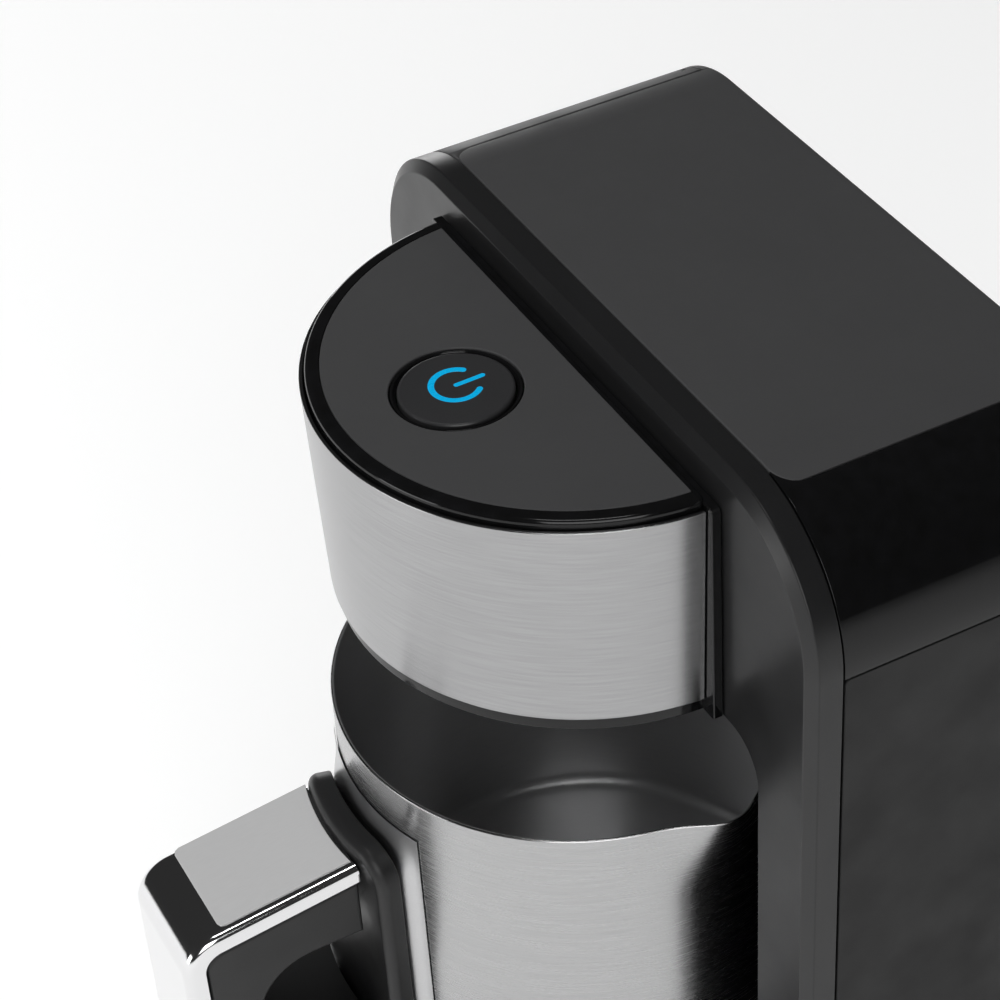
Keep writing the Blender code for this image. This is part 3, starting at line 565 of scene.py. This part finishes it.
def shell_skin(shoulder):
    """The tower's outer skin with its openings: only the left shoulder, or everything else."""
    panel_low, panel_high = span("side_panel_right")
    door_low, door_high = span("co2_door")
    corner = LID_CORNER + GAP
    front = SHELL_LOW.y
    lid_half = LID_HIGH.x + GAP
    panel_back = panel_high.y + GAP
    lines = sorted({front, front + corner, door_low.y - GAP, door_high.y + GAP, panel_back, SHELL_HIGH.y})

    def is_open(x, y, z):
        side = abs(x) > TOWER_HALF - 0.05
        return (
            (z > TOWER_TOP - 5 and abs(x) < lid_half - 0.01)
            or (side and panel_low.z - GAP < z < panel_high.z + GAP and y < panel_back)
            or (side and x < 0 and door_low.z - GAP < z < door_high.z + GAP
                and door_low.y - GAP < y < door_high.y + GAP)
        )

    outline = shell_points()
    bm = bmesh.new()
    rings = [[bm.verts.new((x, y, z)) for x, z in outline] for y in lines]
    for near, far, y0, y1 in zip(rings, rings[1:], lines, lines[1:]):
        for i in range(len(outline)):
            j = (i + 1) % len(outline)
            middle = (Vector(outline[i]) + Vector(outline[j])) / 2
            on_shoulder = middle.x < 0 and middle.y > TOWER_TOP - SHOULDER_R
            if on_shoulder == shoulder and not is_open(middle.x, (y0 + y1) / 2, middle.y):
                bm.faces.new((near[i], far[i], far[j], near[j]))
    side = -1 if shoulder else 1
    curve = [(lid_half, front)] + arc(lid_half - corner, front + corner, corner, 0, -75, 10)
    curve.append((curve[-1][0], front))
    fan = [bm.verts.new((side * x, y, shoulder_top(x))) for x, y in curve[::side]]
    bm.faces.new(fan)
    bmesh.ops.delete(bm, geom=[v for v in bm.verts if not v.link_faces], context="VERTS")
    return bm


def tower_shell():
    piece("shell", shell_skin(False), "gloss_black", "housing", ["tower_shell"], solid=WALL, bevel=0.18)
    piece("shoulder_left", shell_skin(True), "matte_black", "housing", ["tower_shell"], solid=WALL)


def rear_outline():
    """The tower's outline with a notch at the top for the lid's hinge barrel."""
    half, floor = LID_HIGH.x + GAP, LID_LOW.z - GAP
    points = shell_points()
    return [p for p in points if p[0] > 0] + [(half, floor), (-half, floor)] + [p for p in points if p[0] < 0]


def rear_cover():
    low, high = COVER_LOW.y, COVER_HIGH.y
    inlet_low, inlet_high = span("power_inlet")
    slack = 0.4
    holes = [rounded_box(inlet_low.x - slack, inlet_low.z - slack, inlet_high.x + slack, inlet_high.z + slack,
                         1.6, 1.6, 5)]
    for node in REAR_SCREWS:
        screw_low, screw_high = span(f"rear_screw_{node}")
        middle = (screw_low + screw_high) / 2
        holes.append(circle(middle.x, middle.z, 3.5, 32))
    for i in range(7):
        x = (i - 3) * VENT_PITCH
        holes.append(rounded_box(x - VENT_HALF, VENT_LOW, x + VENT_HALF, VENT_HIGH, 1.45, 1.45, 6))
    bm = slab(rear_outline(), low, high, "Y", 0.2, 0.9, holes, 0.4)
    piece("back_cover", bm, "matte_black", "housing", ["rear_cover"])


def rear_screws():
    """Pan-head screws with a cross recess."""
    for node in REAR_SCREWS:
        low, high = span(f"rear_screw_{node}")
        middle, head = (low + high) / 2, high.y
        arm, width = 1.9, 0.45
        cross = []
        for a in range(4):
            turn = math.radians(90 * a)
            for u, v in ((width, width), (arm, width), (arm, -width)):
                cross.append((middle.x + u * math.cos(turn) + v * math.sin(turn),
                              middle.z + u * math.sin(turn) - v * math.cos(turn)))
        cross = sorted(cross, key=lambda p: math.atan2(p[1] - middle.z, p[0] - middle.x))
        cap_part = slab(circle(middle.x, middle.z, 3.0, 48), head - 0.55, head, "Y", 0.05, 0.3, [cross], 0.06)
        profile = [(0, low.y), (1.5, low.y), (1.5, head - 0.8), (2.9, head - 0.8), (2.9, head - 0.56),
                   (0, head - 0.56)]
        shank = lathe(profile, (middle.x, middle.z), "Y", 48)
        piece(f"screw_{node}", fuse(cap_part, shank), "satin_metal", "housing", [f"rear_screw_{node}"])


def niche_liner():
    front, back = LINER_LOW.y, LINER_HIGH.y
    inside = back - NICHE_WALL
    turns = [math.pi / 2 * k / 6 for k in range(7)]
    levels = [(-NICHE_WALL, back), (-NICHE_WALL, front), (0, front)]
    levels += [(NICHE_FLOOR_R * (1 - math.cos(t)), inside - NICHE_FLOOR_R * (1 - math.sin(t))) for t in turns]
    rings = [[place(u, v, y, "Y") for u, v in niche_outline(inset)] for inset, y in levels]
    piece("niche", skin(rings), "gloss_black", "housing", ["niche_liner"])


def side_panels():
    for side in ("left", "right"):
        low, high = span(f"side_panel_{side}")
        x0, x1 = (low.x, high.x + 1.2) if side == "left" else (low.x - 1.2, high.x)
        outline = rounded_box(low.y, low.z, high.y, high.z, 1.2, 1.2, 5)
        # The side panels take the darker copy of matte black, whose colour is painted shade.
        piece(f"flank_{side}", slab(outline, x0, x1, "X", 0.3), "matte_black", "housing",
              [f"side_panel_{side}"], FLANK_SHADED_LOOK)


def reservoir_lid():
    """The matte top panel. It follows the shoulders, and its rear edge turns down into the hinge barrel."""
    half, roll = LID_HIGH.x, (LID_HIGH.z - LID_LOW.z) / 2
    front, back = LID_LOW.y, LID_HIGH.y
    axis_y, axis_z = back - roll, TOWER_TOP - roll
    low = TOWER_TOP - 2.6
    ends = [half - LID_CORNER * (1 - math.cos(math.pi / 2 * k / 9)) for k in range(10)]
    xs = [-x for x in ends] + [-63.5, -62, -40, -20, 0, 20, 40, 62, 63.5] + ends[::-1]
    rings = []
    for x in xs:
        into = max(LID_CORNER - 0.15 - (half - abs(x)), 0)
        start = front + LID_CORNER - math.sqrt(max(LID_CORNER ** 2 - into ** 2, 0))
        top = shoulder_top(x) - (EDGE_EASE if abs(x) == half else 0)
        nose = soften([(start, low), (start, top, 0.45), (start + 8, top)], 4)
        tail = soften([(back - 8, top), (back, top, 1.0), (back, axis_z)], 4)
        barrel = arc(axis_y, axis_z, roll, 0, -180, 24)[1:] + [(axis_y - roll, low)]
        rings.append([(x, y, z) for y, z in nose + tail + barrel])
    piece("top_panel", skin(rings), "matte_black", "reservoir_lid", ["reservoir_lid"])


def co2_door():
    low, high = span("co2_door")
    outline = soften([(low.x, low.z + 1.4, 1.4), (low.x + 1.4, low.z, 1.2), (high.x, low.z, 0.9),
                      (high.x, high.z, 0.4), (low.x, high.z, 0.4)], 6)
    lip = slab(rounded_box(low.y + 14.5, high.z - 7.5, high.y - 14.5, high.z - 5.5, 0.9, 0.9, 4), low.x,
               low.x + 0.8, "X", 0.1)
    pin_low, pin_high = low.y, high.y
    bm = fuse(slab(outline, pin_low + 1.8, pin_high - 1.8, "Y", 0.35), lip)
    piece("door", bm, "gloss_black", "cartridge_door", ["co2_door"])


def power_inlet():
    low, high = span("power_inlet")
    outline = rounded_box(low.x, low.z, high.x, high.z, 1.6, 1.6, 6)
    mouth = rounded_box(low.x + 4, low.z + 4, high.x - 4, high.z - 4, 5.5, 5.5, 8)
    collar = slab(outline, low.y + 4.6, high.y, "Y", 0.3, 0.6, [mouth], 0.6)
    floor = slab(outline, low.y, low.y + 4.5, "Y", 0.3)
    middle = (low + high) / 2
    profile = [(0, low.y + 4.5), (1.2, low.y + 4.5), (1.2, high.y - 2.4), (0.6, high.y - 1.6),
               (0, high.y - 1.6)]
    pins = [lathe(profile, (middle.x + dx, middle.z), "Y", 24) for dx in (-4, 4)]
    piece("mains_inlet", fuse(collar, floor, *pins), "black_plastic", "housing", ["power_inlet"])


# ----------------------------------------------------------------- head

def head_strip(radius, chord, steps=144):
    """The front arc of the head, ending on a chord."""
    lift = math.degrees(math.asin((chord - HEAD_CY) / radius))
    return arc(0, HEAD_CY, radius, 180 - lift, 360 + lift, steps)


def head_band():
    wall = 1.0
    section = soften([(HEAD_R_LOW, BAND_LOW.z, 0.35), (HEAD_R, BAND_HIGH.z, 0.35),
                      (HEAD_R - wall, BAND_HIGH.z, 0.3), (HEAD_R_LOW - wall, BAND_LOW.z, 0.3)], 3)
    section = divide(section, 8)
    loops = [[(x, y, z) for x, y in head_strip(radius, CHORD)] for radius, z in section]
    piece("steel_band", skin([list(r) for r in zip(*loops)]), "brushed_steel", "housing", ["head_band"])


def head_lid():
    """The matte lid plate inside its glossy rounded rim, which is narrow along the straight edge."""
    low, high = HEAD_LID_LOW.z, HEAD_LID_HIGH.z
    radius, chord, slim = HEAD_R - LID_INSET, CHORD + 0.9, 0.35

    def ring(inset, z):
        loop = half_disc(radius - inset, HEAD_CY, chord - slim * inset, max(1.4 - 0.35 * inset, 0.25))
        return [(x, y, z) for x, y in loop]

    seam = RIM_WIDTH - 0.12
    section = soften([(0, low, 0.2), (0, high, 2.6), (seam, high + 0.02, 0.25), (seam, high - 1.6),
                      (1.2, low)], 8)
    piece("lid_rim", skin([ring(*p) for p in section], loop=True, caps=False), "gloss_black", "housing",
          ["head_lid"])
    outline = half_disc(radius - RIM_WIDTH, HEAD_CY, chord - slim * RIM_WIDTH, 0.3)
    hole = circle(0, BUTTON_Y, 14.35, 96)
    piece("lid_plate", slab(outline, high - 1.5, high + 0.04, "Z", 0.1, 0.22, [hole], 0.35), "matte_black",
          "housing", ["head_lid"])


def head_floor():
    low, high = span("head_floor")
    hole = circle(0, BUTTON_Y, 5.4, 48)
    outline = half_disc(HEAD_R_LOW - 0.9, HEAD_CY, high.y, 0.8)
    piece("underside", slab(outline, low.z, high.z, "Z", 0.5, 0.3, [hole], 0.4), "gloss_black", "housing",
          ["head_floor"])


def head_collar():
    """A slim strip between the head and the tower's face, no lower than the head's underside."""
    low, high = span("head_collar")
    floor_low, _ = span("head_floor")
    outline = rounded_box(low.x, floor_low.z, high.x, high.z, 0.9, 1.4, 5)
    piece("collar", slab(outline, CHORD + GAP, high.y, "Y", 0.3, 0.1), "gloss_black", "housing",
          ["head_collar"])


def dish(x, y):
    """How far the button's face lies below its edge."""
    reach = math.hypot(x, y - BUTTON_Y) / (BUTTON_R - 0.7)
    return BUTTON_DISH * (1 - min(reach, 1) ** 2)


def power_button():
    top = HEAD_LID_HIGH.z + 0.2
    face = [(r, top - dish(r, BUTTON_Y)) for r in (0, 2, 4, 6, 8, 9.5, 10.8, BUTTON_R - 0.75)]
    edge = [(BUTTON_R - 0.7 + 0.7 * math.sin(t), top - 0.7 * (1 - math.cos(t)))
            for t in (math.pi / 2 * k / 6 for k in range(7))]
    under = [(BUTTON_R, top - 3.2), (8, top - 3.2), (8, top - 2.2), (1.5, top - 2.2), (1.5, BUTTON_LOW.z),
             (0, BUTTON_LOW.z)]
    piece("button_cap", lathe(face + edge + under, (0, BUTTON_Y)), "gloss_black", "button", ["power_button"],
          BUTTON_LOOK)


def power_icon():
    """The open ring and the bar that leaves through its gap."""
    cx, cy = ICON_CENTRE
    half = ICON_STROKE / 2
    start, end = 90 + ICON_GAP, 450 - ICON_GAP
    tips = [arc(cx, cy, ICON_R, a, a, 1)[0] for a in (end, start)]
    ring = arc(cx, cy, ICON_R + half, start, end, 64) + arc(*tips[0], half, end, end + 180, 10)[1:-1]
    ring += arc(cx, cy, ICON_R - half, end, start, 64)
    ring += arc(*tips[1], half, start + 180, start + 360, 10)[1:-1]
    bar = divide(rounded_box(cx - half * 0.85, cy + ICON_BAR[0], cx + half * 0.85, cy + ICON_BAR[1],
                             half * 0.84, half * 0.84, 8), 1.0)
    top = HEAD_LID_HIGH.z + 0.2
    for name, outline in (("icon_ring", ring), ("icon_bar", bar)):
        bm = slab(outline, top - 0.4, top + 0.05, "Z", 0.02, 0.06)
        for v in bm.verts:
            v.co.z -= dish(v.co.x, v.co.y)
        piece(f"glow_{name[5:]}", bm, "blue_inlay", "button", [name])


def button_ring():
    """The sunken gloss ring round the button."""
    low, high = span("button_ring")
    inner, outer = BUTTON_R + 0.25, high.x
    section = soften([(inner, low.z), (outer, low.z), (outer, high.z, 0.35), (outer - 0.55, high.z, 0.3),
                      (inner + 0.3, high.z - 0.7, 0.3), (inner, high.z - 0.9, 0.1)], 4)
    piece("button_surround", lathe(section, (0, BUTTON_Y)), "gloss_black", "housing", ["button_ring"])


def button_spring():
    """The coil under the button, which stays on the board below."""
    low, high = span("button_spring")
    wire, turns, per_turn, sides = 0.4, 4, 28, 10
    coil_r, steps = high.x - wire, turns * per_turn
    rings = []
    for i in range(steps + 1):
        a = 2 * math.pi * i / per_turn
        z = low.z + wire + (high.z - low.z - 2 * wire) * i / steps
        ring = []
        for k in range(sides):
            t = 2 * math.pi * k / sides
            r = coil_r + wire * math.cos(t)
            ring.append((r * math.cos(a), BUTTON_Y + r * math.sin(a), z + wire * math.sin(t)))
        rings.append(ring)
    coil = piece("cap_spring", skin(rings), "satin_metal", "housing", ["button_spring"])
    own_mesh(coil)


# ----------------------------------------------------------------- base

def base_shell():
    low, high = span("base_shell")
    levels = [(2.5, high.z - 2.2), (2.5, low.z), (0, low.z)]
    levels += [(inset, high.z - drop) for inset, drop in reversed(fillet(1.0))]
    rings = [[(x, y, z) for x, y in half_disc(BASE_R - inset, BASE_CY, high.y - inset, 1.5)]
             for inset, z in levels]
    piece("plinth", skin(rings), "gloss_black", "housing", ["base_shell"])


def base_pan():
    low, high = span("base_pan")
    front = arc(0, BASE_CY, BASE_R - 0.3, 180.1, 359.9, 96)
    corner = 3.0
    outline = front + [(high.x, BASE_CY + 0.3), (high.x, high.y - corner), (high.x - corner, high.y),
                       (low.x + corner, high.y), (low.x, high.y - corner), (low.x, BASE_CY + 0.3)]
    piece("pan", slab(outline, low.z, high.z, "Z", 0.4), "matte_black", "housing", ["base_pan"])


def feet():
    for node in ("foot_rear_left", "foot_rear_right", "foot_front_left", "foot_front_right"):
        low, high = span(node)
        middle, r = (low + high) / 2, (high.x - low.x) / 2
        grooves = [(r - 3.0, 0), (r - 3.2, 0.35), (r - 3.9, 0.35), (r - 4.1, 0)]
        section = soften([(0, high.z), (r, high.z, 0.4), (r, 1.2, 0.5), (r - 1.3, 0, 0.5)], 4)
        section += grooves + [(0, 0)]
        piece(f"pad_{node[5:]}", lathe(section, (middle.x, middle.y), "Z", 64), "rubber", "housing", [node])


def tray_outline(inset):
    radius, back = BASE_R - inset, TRAY_HIGH.y - inset
    front = arc(0, BASE_CY, radius, 180, 360, 120)
    corner = 2.2
    right = arc(radius - corner, back - corner, corner, 0, 90, 6)
    return front + right + arc(corner - radius, back - corner, corner, 90, 180, 6)


def drip_tray():
    low, high, wall = TRAY_LOW.z, TRAY_HIGH.z, 2.2
    section = [(0.8, low), (0.25, low + 0.2), (0, low + 0.8)]
    section += [(inset, high - drop) for inset, drop in reversed(fillet(0.7))]
    section += [(wall - 0.5, high), (wall - 0.15, high - 0.15), (wall, high - 0.5), (wall, low + 4)]
    section += [(wall + 0.6, low + 2.6), (wall + 2, low + 2)]
    piece("tray", skin([[(x, y, z) for x, y in tray_outline(inset)] for inset, z in section]), "gloss_black",
          "drip_tray", ["drip_tray"])


def drip_grille():
    low, high = span("drip_grille")
    radius = BASE_R - 0.1
    reach = math.degrees(math.asin((high.y - BASE_CY) / radius))
    outline = arc(0, BASE_CY, radius, 180 - reach, 360 + reach, 150)
    slots = []
    for x in range(-50, 51, SLOT_PITCH):
        length = math.sqrt(SLOT_REACH ** 2 - x ** 2)
        back = min(BASE_CY + length, high.y - 8)
        slots.append(rounded_box(x - SLOT_HALF, BASE_CY - length, x + SLOT_HALF, back, 2.15, 2.15, 7))
    piece("grille", slab(outline, low.z, high.z, "Z", 0.4, 0.5, slots, 0.45), "matte_black", "drip_tray",
          ["drip_grille"])


# ------------------------------------------------------------------ jug

def spout(azimuth, z):
    """How far the spout pushes the wall out at an azimuth in degrees and a height."""
    across = math.exp(-((azimuth - SPOUT_AZ) / SPOUT_WIDTH) ** 2)
    rise = min(max((z - SPOUT_START) / (JUG_RIM - SPOUT_START), 0), 1)
    return SPOUT_REACH * across * rise ** 1.6


def jug_shell():
    low = JUG_LOW.z
    heights = [JUG_RIM - 0.35 - 1.6 * i for i in range(16)] + [130, 110, 90]
    outside = [(JUG_R, z) for z in heights] + arc(JUG_R - 4, low + 4, 4, 0, -90, 8)
    inside = arc(JUG_R - 4.9, low + 5.2, 4, -90, 0, 8) + [(JUG_R - JUG_WALL, z) for z in reversed(heights)]
    lip = arc(JUG_R - JUG_WALL / 2, JUG_RIM - 0.45, JUG_WALL / 2, 180, 0, 8)[1:-1]
    profile = outside + [(20, low + 0.4), (0, low + 0.4), (0, low + 1.2), (30, low + 1.2)] + inside + lip
    near = [SPOUT_AZ + a for a in range(-30, 31)]
    far = [SPOUT_AZ + 30 + 2.5 * i for i in range(1, 120)]
    rings = []
    for radius, z in profile:
        push = [radius + (spout(a, z) if radius > 50 else 0) if radius else 0 for a in near + far]
        rings.append([(r * math.cos(math.radians(a)), JUG_CY + r * math.sin(math.radians(a)), z)
                      for r, a in zip(push, near + far)])
    bm = skin(rings, loop=True, caps=False)
    # Faces inside the wall take the second material, the lighter inside steel with painted light.
    for face in bm.faces:
        middle = face.calc_center_median()
        reach = math.hypot(middle.x, middle.y - JUG_CY)
        azimuth = math.degrees(math.atan2(middle.y - JUG_CY, middle.x))
        wall = JUG_R - JUG_WALL * 0.6 + spout(azimuth, middle.z)
        face.material_index = int(reach < wall and middle.z > low + 0.8)
    piece("jug_body", bm, "brushed_steel", "jug", ["jug_shell"], (JUG_LOOK, JUG_INSIDE_LIT_LOOK))


def ease(t):
    """A smooth step from 0 to 1."""
    t = min(max(t, 0), 1)
    return t * t * (3 - 2 * t)


def jug_saddle():
    """A satin pad that swells out of the jug's wall to carry the handle."""
    low, high = span("jug_saddle")
    inner, swell, half = JUG_R + GAP, 2.1, math.radians(SADDLE_TURN)
    turns = [half * (k / 26 - 1) for k in range(53)]

    def ring(z):
        up = ease((high.z - z) / 14) * ease((z - low.z) / 5)
        out = [inner + 0.1 + (swell - 0.1) * up * ease((half - abs(a)) / math.radians(6)) for a in turns]
        loop = list(zip(out, turns)) + [(inner, a) for a in reversed(turns)]
        return [(r * math.sin(a), JUG_CY - r * math.cos(a), z) for r, a in loop]

    levels = [low.z + (high.z - low.z) * (k / 60) for k in range(61)]
    piece("saddle", skin([ring(z) for z in levels]), "satin_metal", "jug", ["jug_saddle"])


def handle_bracket():
    """A curved pad whose two upper corners are well rounded."""
    low, high = span("handle_bracket")
    inner, outer = BRACKET_INNER, HANDLE_ROOT - GAP
    width, corner = math.radians(BRACKET_TURN) * outer, 9.0
    outline = divide(rounded_box(-width, low.z, width, high.z, 3.0, corner, 10), 2.5)
    rings = []
    levels = [(inset, inner + drop) for inset, drop in fillet(0.5, 3)]
    levels += [(inset, outer - drop) for inset, drop in reversed(fillet(2.6, 7))]
    for inset, r in levels:
        rings.append([(r * math.sin(u / outer), JUG_CY - r * math.cos(u / outer), z)
                      for u, z in offset(outline, inset)])
    piece("bracket", skin(rings), "black_plastic", "jug", ["handle_bracket"])


def handle_path(inset, steps=14):
    """The handle's top height by distance out from the jug's axis, and the points of its round corner."""
    slope = math.atan(HANDLE_SLOPE)
    front, r = HANDLE_S - inset, HANDLE_BEND - inset

    def top(s):
        return HANDLE_TOP - inset / math.cos(slope) - (s - 66) * HANDLE_SLOPE

    cs = front - r
    return top, arc(cs, top(cs) - r / math.cos(slope), r, 90 - math.degrees(slope), 0, steps)


def root_at(x):
    """How far out from the jug's axis the handle begins."""
    return math.sqrt(HANDLE_ROOT ** 2 - x ** 2)


def handle_strap():
    """A chrome strap with a round outer edge on both sides."""
    top_out, bend_out = handle_path(0)
    top_in, bend_in = handle_path(STRAP_T)
    half = HANDLE_HALF
    section = soften([(-half, 0, 3.0), (half, 0, 3.0), (half, STRAP_T, 0.3), (-half, STRAP_T, 0.3)], 8)
    section = [(HANDLE_X + x, t / STRAP_T) for x, t in section]
    roots = [(x, t, root_at(x)) for x, t in section]
    rings = [[(x, JUG_CY - root, top_out(root) * (1 - t) + top_in(root) * t) for x, t, root in roots]]
    path = [((s, top_out(s)), (s, top_in(s))) for s in (70, 80, 90)] + list(zip(bend_out, bend_in))
    levels = (110, HANDLE_LOW + 0.6, HANDLE_LOW + 0.2, HANDLE_LOW)
    path += [((HANDLE_S, z), (HANDLE_S - STRAP_T, z)) for z in levels]
    for (s0, z0), (s1, z1) in path:
        rings.append([(x, JUG_CY - s0 - (s1 - s0) * t, z0 + (z1 - z0) * t) for x, t in section])
    piece("strap", skin(rings), "chrome", "jug", ["handle_strap"])


def handle_top_plate():
    """A flat satin plate laid on the strap, its inner end concentric with the jug."""
    top, _ = handle_path(0)
    left, right, corner, thick = -HANDLE_HALF + 0.7, HANDLE_HALF - 2.5, 1.6, 0.35
    columns = [left + (right - left) * k / 28 for k in range(29)]
    middle = (left + right) / 2
    rings = []
    for level, inset in ((-0.4, 0), (thick - 0.2, 0), (thick - 0.06, 0.08), (thick, 0.25)):
        squeeze = 1 - 2 * inset / (right - left)
        inner = [(middle + (x - middle) * squeeze, root_at(x + HANDLE_X) + 0.4 + inset) for x in columns]
        outer = [(right - inset, PLATE_END - corner), (right - inset - 0.3 * corner, PLATE_END - 0.3 * corner),
                 (right - corner, PLATE_END - inset), (left + corner, PLATE_END - inset),
                 (left + inset + 0.3 * corner, PLATE_END - 0.3 * corner), (left + inset, PLATE_END - corner)]
        rings.append([(HANDLE_X + x, JUG_CY - s, top(s) + level) for x, s in inner + outer])
    piece("handle_plate", skin(rings), "satin_metal", "jug", ["handle_top_plate"], PLATE_LOOK)


def handle_grip():
    """The black loop inside the strap, open towards the bracket for the fingers."""
    top, bend = handle_path(STRAP_T + GAP)
    front, foot = HANDLE_S - STRAP_T - GAP, HANDLE_LOW
    hole_low, low_r, top_r = foot + FINGER_LIFT, FINGER_LOW_R, FINGER_TOP_R
    half = HANDLE_HALF - 0.4

    def outline(x, inset):
        root = root_at(x)
        loop = [(root, top(root))] + bend + [(front, foot), (root, foot), (root, hole_low)]
        loop += arc(FINGER_OUT - low_r, hole_low + low_r, low_r, -90, 0, 8)
        loop += arc(FINGER_OUT - top_r, FINGER_TOP - top_r, top_r, 0, 90, 12)
        return offset(loop + [(root, FINGER_TOP)], -inset)

    stations = [(drop - half, inset) for inset, drop in fillet(1.2)]
    stations += [(half * k / 4, 0) for k in (-3, -2, -1, 0, 1, 2, 3)]
    stations += [(half - drop, inset) for inset, drop in reversed(fillet(1.2))]
    rings = [[(HANDLE_X + x, JUG_CY - s, z) for s, z in outline(HANDLE_X + x, inset)]
             for x, inset in stations]
    piece("grip", skin(rings), "black_plastic", "jug", ["handle_grip"])


def repaint_inner_parts():
    """Gives every CAD node that still shows its slot's material."""
    for row in frame["record"]["subparts"]:
        node = frame["nodes"][row["node"]]
        if not node.hide_render:
            for slot in node.material_slots:
                slot.material = LOOKS[row["material_slot"]]


# ------------------------------------------------------ floor and light

CAMERA_TURN = (64.82, 39.52, -4.23)  # azimuth, elevation and roll, in degrees
CAMERA_TARGET = (-65.157, 13.973, 169.812)  # y is from the head's straight edge
CAMERA_DISTANCE = 712.36
CAMERA_LENS = 102.0
FLOOR_GLOW = 0.26

def stage_mesh(name, bm, colour, glow):
    """A plain pale surface that isn't part of the object."""
    bmesh.ops.recalc_face_normals(bm, faces=bm.faces)
    mesh = bpy.data.meshes.new(name)
    bm.to_mesh(mesh)
    bm.free()
    look = Look(name, 0.9, Emission_Strength=glow, Specular_IOR_Level=0.0)
    cloud = look.noise(1.5)
    look.link("Base Color", look.blend(cloud, [c * 0.995 for c in colour], colour))
    look.shader.inputs["Emission Color"].default_value = (*colour, 1.0)
    mesh.materials.append(look.material)
    obj = bpy.data.objects.new(name, mesh)
    bpy.context.scene.collection.objects.link(obj)
    return obj


def make_stage():
    """A floor in metres, and a far wall round it that only the camera sees."""
    reach, height = 6.0, 7.0
    bm = bmesh.new()
    bm.faces.new([bm.verts.new((x, y, 0)) for x, y in circle(0, 0, reach, 96)])
    stage_mesh("floor", bm, (0.86, 0.86, 0.86), FLOOR_GLOW)
    bm = bmesh.new()
    rings = [[bm.verts.new((x, y, z)) for x, y in circle(0, 0, reach - 0.05, 96)] for z in (0, height)]
    join_rings(bm, rings)
    wall = stage_mesh("backdrop", bm, (0.9, 0.9, 0.9), 1.0)
    wall.visible_glossy = wall.visible_diffuse = wall.visible_shadow = wall.visible_transmission = False


def softbox(name, azimuth, elevation, distance, size, power, glossy=True):
    """An area light aimed at the head. azimuth 0 is in front of the handle and 90 is on the spout's side."""
    a, e = math.radians(azimuth), math.radians(elevation)
    aim = Vector((0, 0, 0.2))
    out = Vector((math.sin(a) * math.cos(e), -math.cos(a) * math.cos(e), math.sin(e)))
    light = bpy.data.lights.new(name, "AREA")
    light.shape, light.size, light.size_y = "RECTANGLE", size[0], size[1]
    light.energy = power
    obj = bpy.data.objects.new(name, light)
    obj.location = aim + out * distance
    obj.rotation_euler = out.to_track_quat("Z", "Y").to_euler()
    obj.visible_glossy = glossy
    obj.visible_camera = False
    bpy.context.scene.collection.objects.link(obj)


def make_lights():
    world = bpy.data.worlds.new("studio")
    world.use_nodes = True
    world.node_tree.nodes["Background"].inputs["Color"].default_value = (1, 1, 1, 1)
    world.node_tree.nodes["Background"].inputs["Strength"].default_value = 0.03
    bpy.context.scene.world = world
    softbox("key", -34, 60, 2.6, (1.8, 1.8), 62, glossy=False)
    softbox("top", 62, 84, 1.6, (0.5, 0.14), 2.0)
    softbox("left", -105, 2, 1.8, (0.6, 0.5), 3)
    softbox("front", -6, 2, 2.2, (1.0, 0.8), 9)
    softbox("fill", 66, 28, 1.9, (1.2, 1.2), 14)


def make_camera():
    """The camera looks down on the head's right side."""
    azimuth, elevation, roll = (math.radians(v) for v in CAMERA_TURN)
    target = Vector((CAMERA_TARGET[0], CHORD + CAMERA_TARGET[1], CAMERA_TARGET[2])) * MM
    level_out = math.cos(elevation)
    back = Vector((math.sin(azimuth) * level_out, -math.cos(azimuth) * level_out, math.sin(elevation)))
    level = Vector((math.cos(azimuth), math.sin(azimuth), 0))
    upright = back.cross(level)
    right = math.cos(roll) * level + math.sin(roll) * upright
    up = math.cos(roll) * upright - math.sin(roll) * level
    data = bpy.data.cameras.new("camera")
    data.lens, data.sensor_width = CAMERA_LENS, 36.0
    data.clip_start, data.clip_end = 0.01, 50
    camera = bpy.data.objects.new("camera", data)
    rotation = camera.matrix_world.copy()
    rotation.col[0], rotation.col[1], rotation.col[2] = (*right, 0), (*up, 0), (*back, 0)
    rotation.col[3] = (*(target + back * CAMERA_DISTANCE * MM), 1)
    camera.matrix_world = rotation
    bpy.context.scene.collection.objects.link(camera)
    bpy.context.scene.camera = camera
    bpy.context.scene.view_settings.view_transform = "Standard"


make_camera()
for make in (front_bezel, tower_shell, rear_cover, rear_screws, niche_liner, side_panels, reservoir_lid,
             co2_door, power_inlet, head_band, head_lid, head_floor, head_collar, power_button, power_icon,
             button_ring, button_spring, base_shell, base_pan, feet, drip_tray, drip_grille, jug_shell,
             jug_saddle, handle_bracket, handle_strap, handle_top_plate, handle_grip, repaint_inner_parts,
             make_stage, make_lights):
    make()
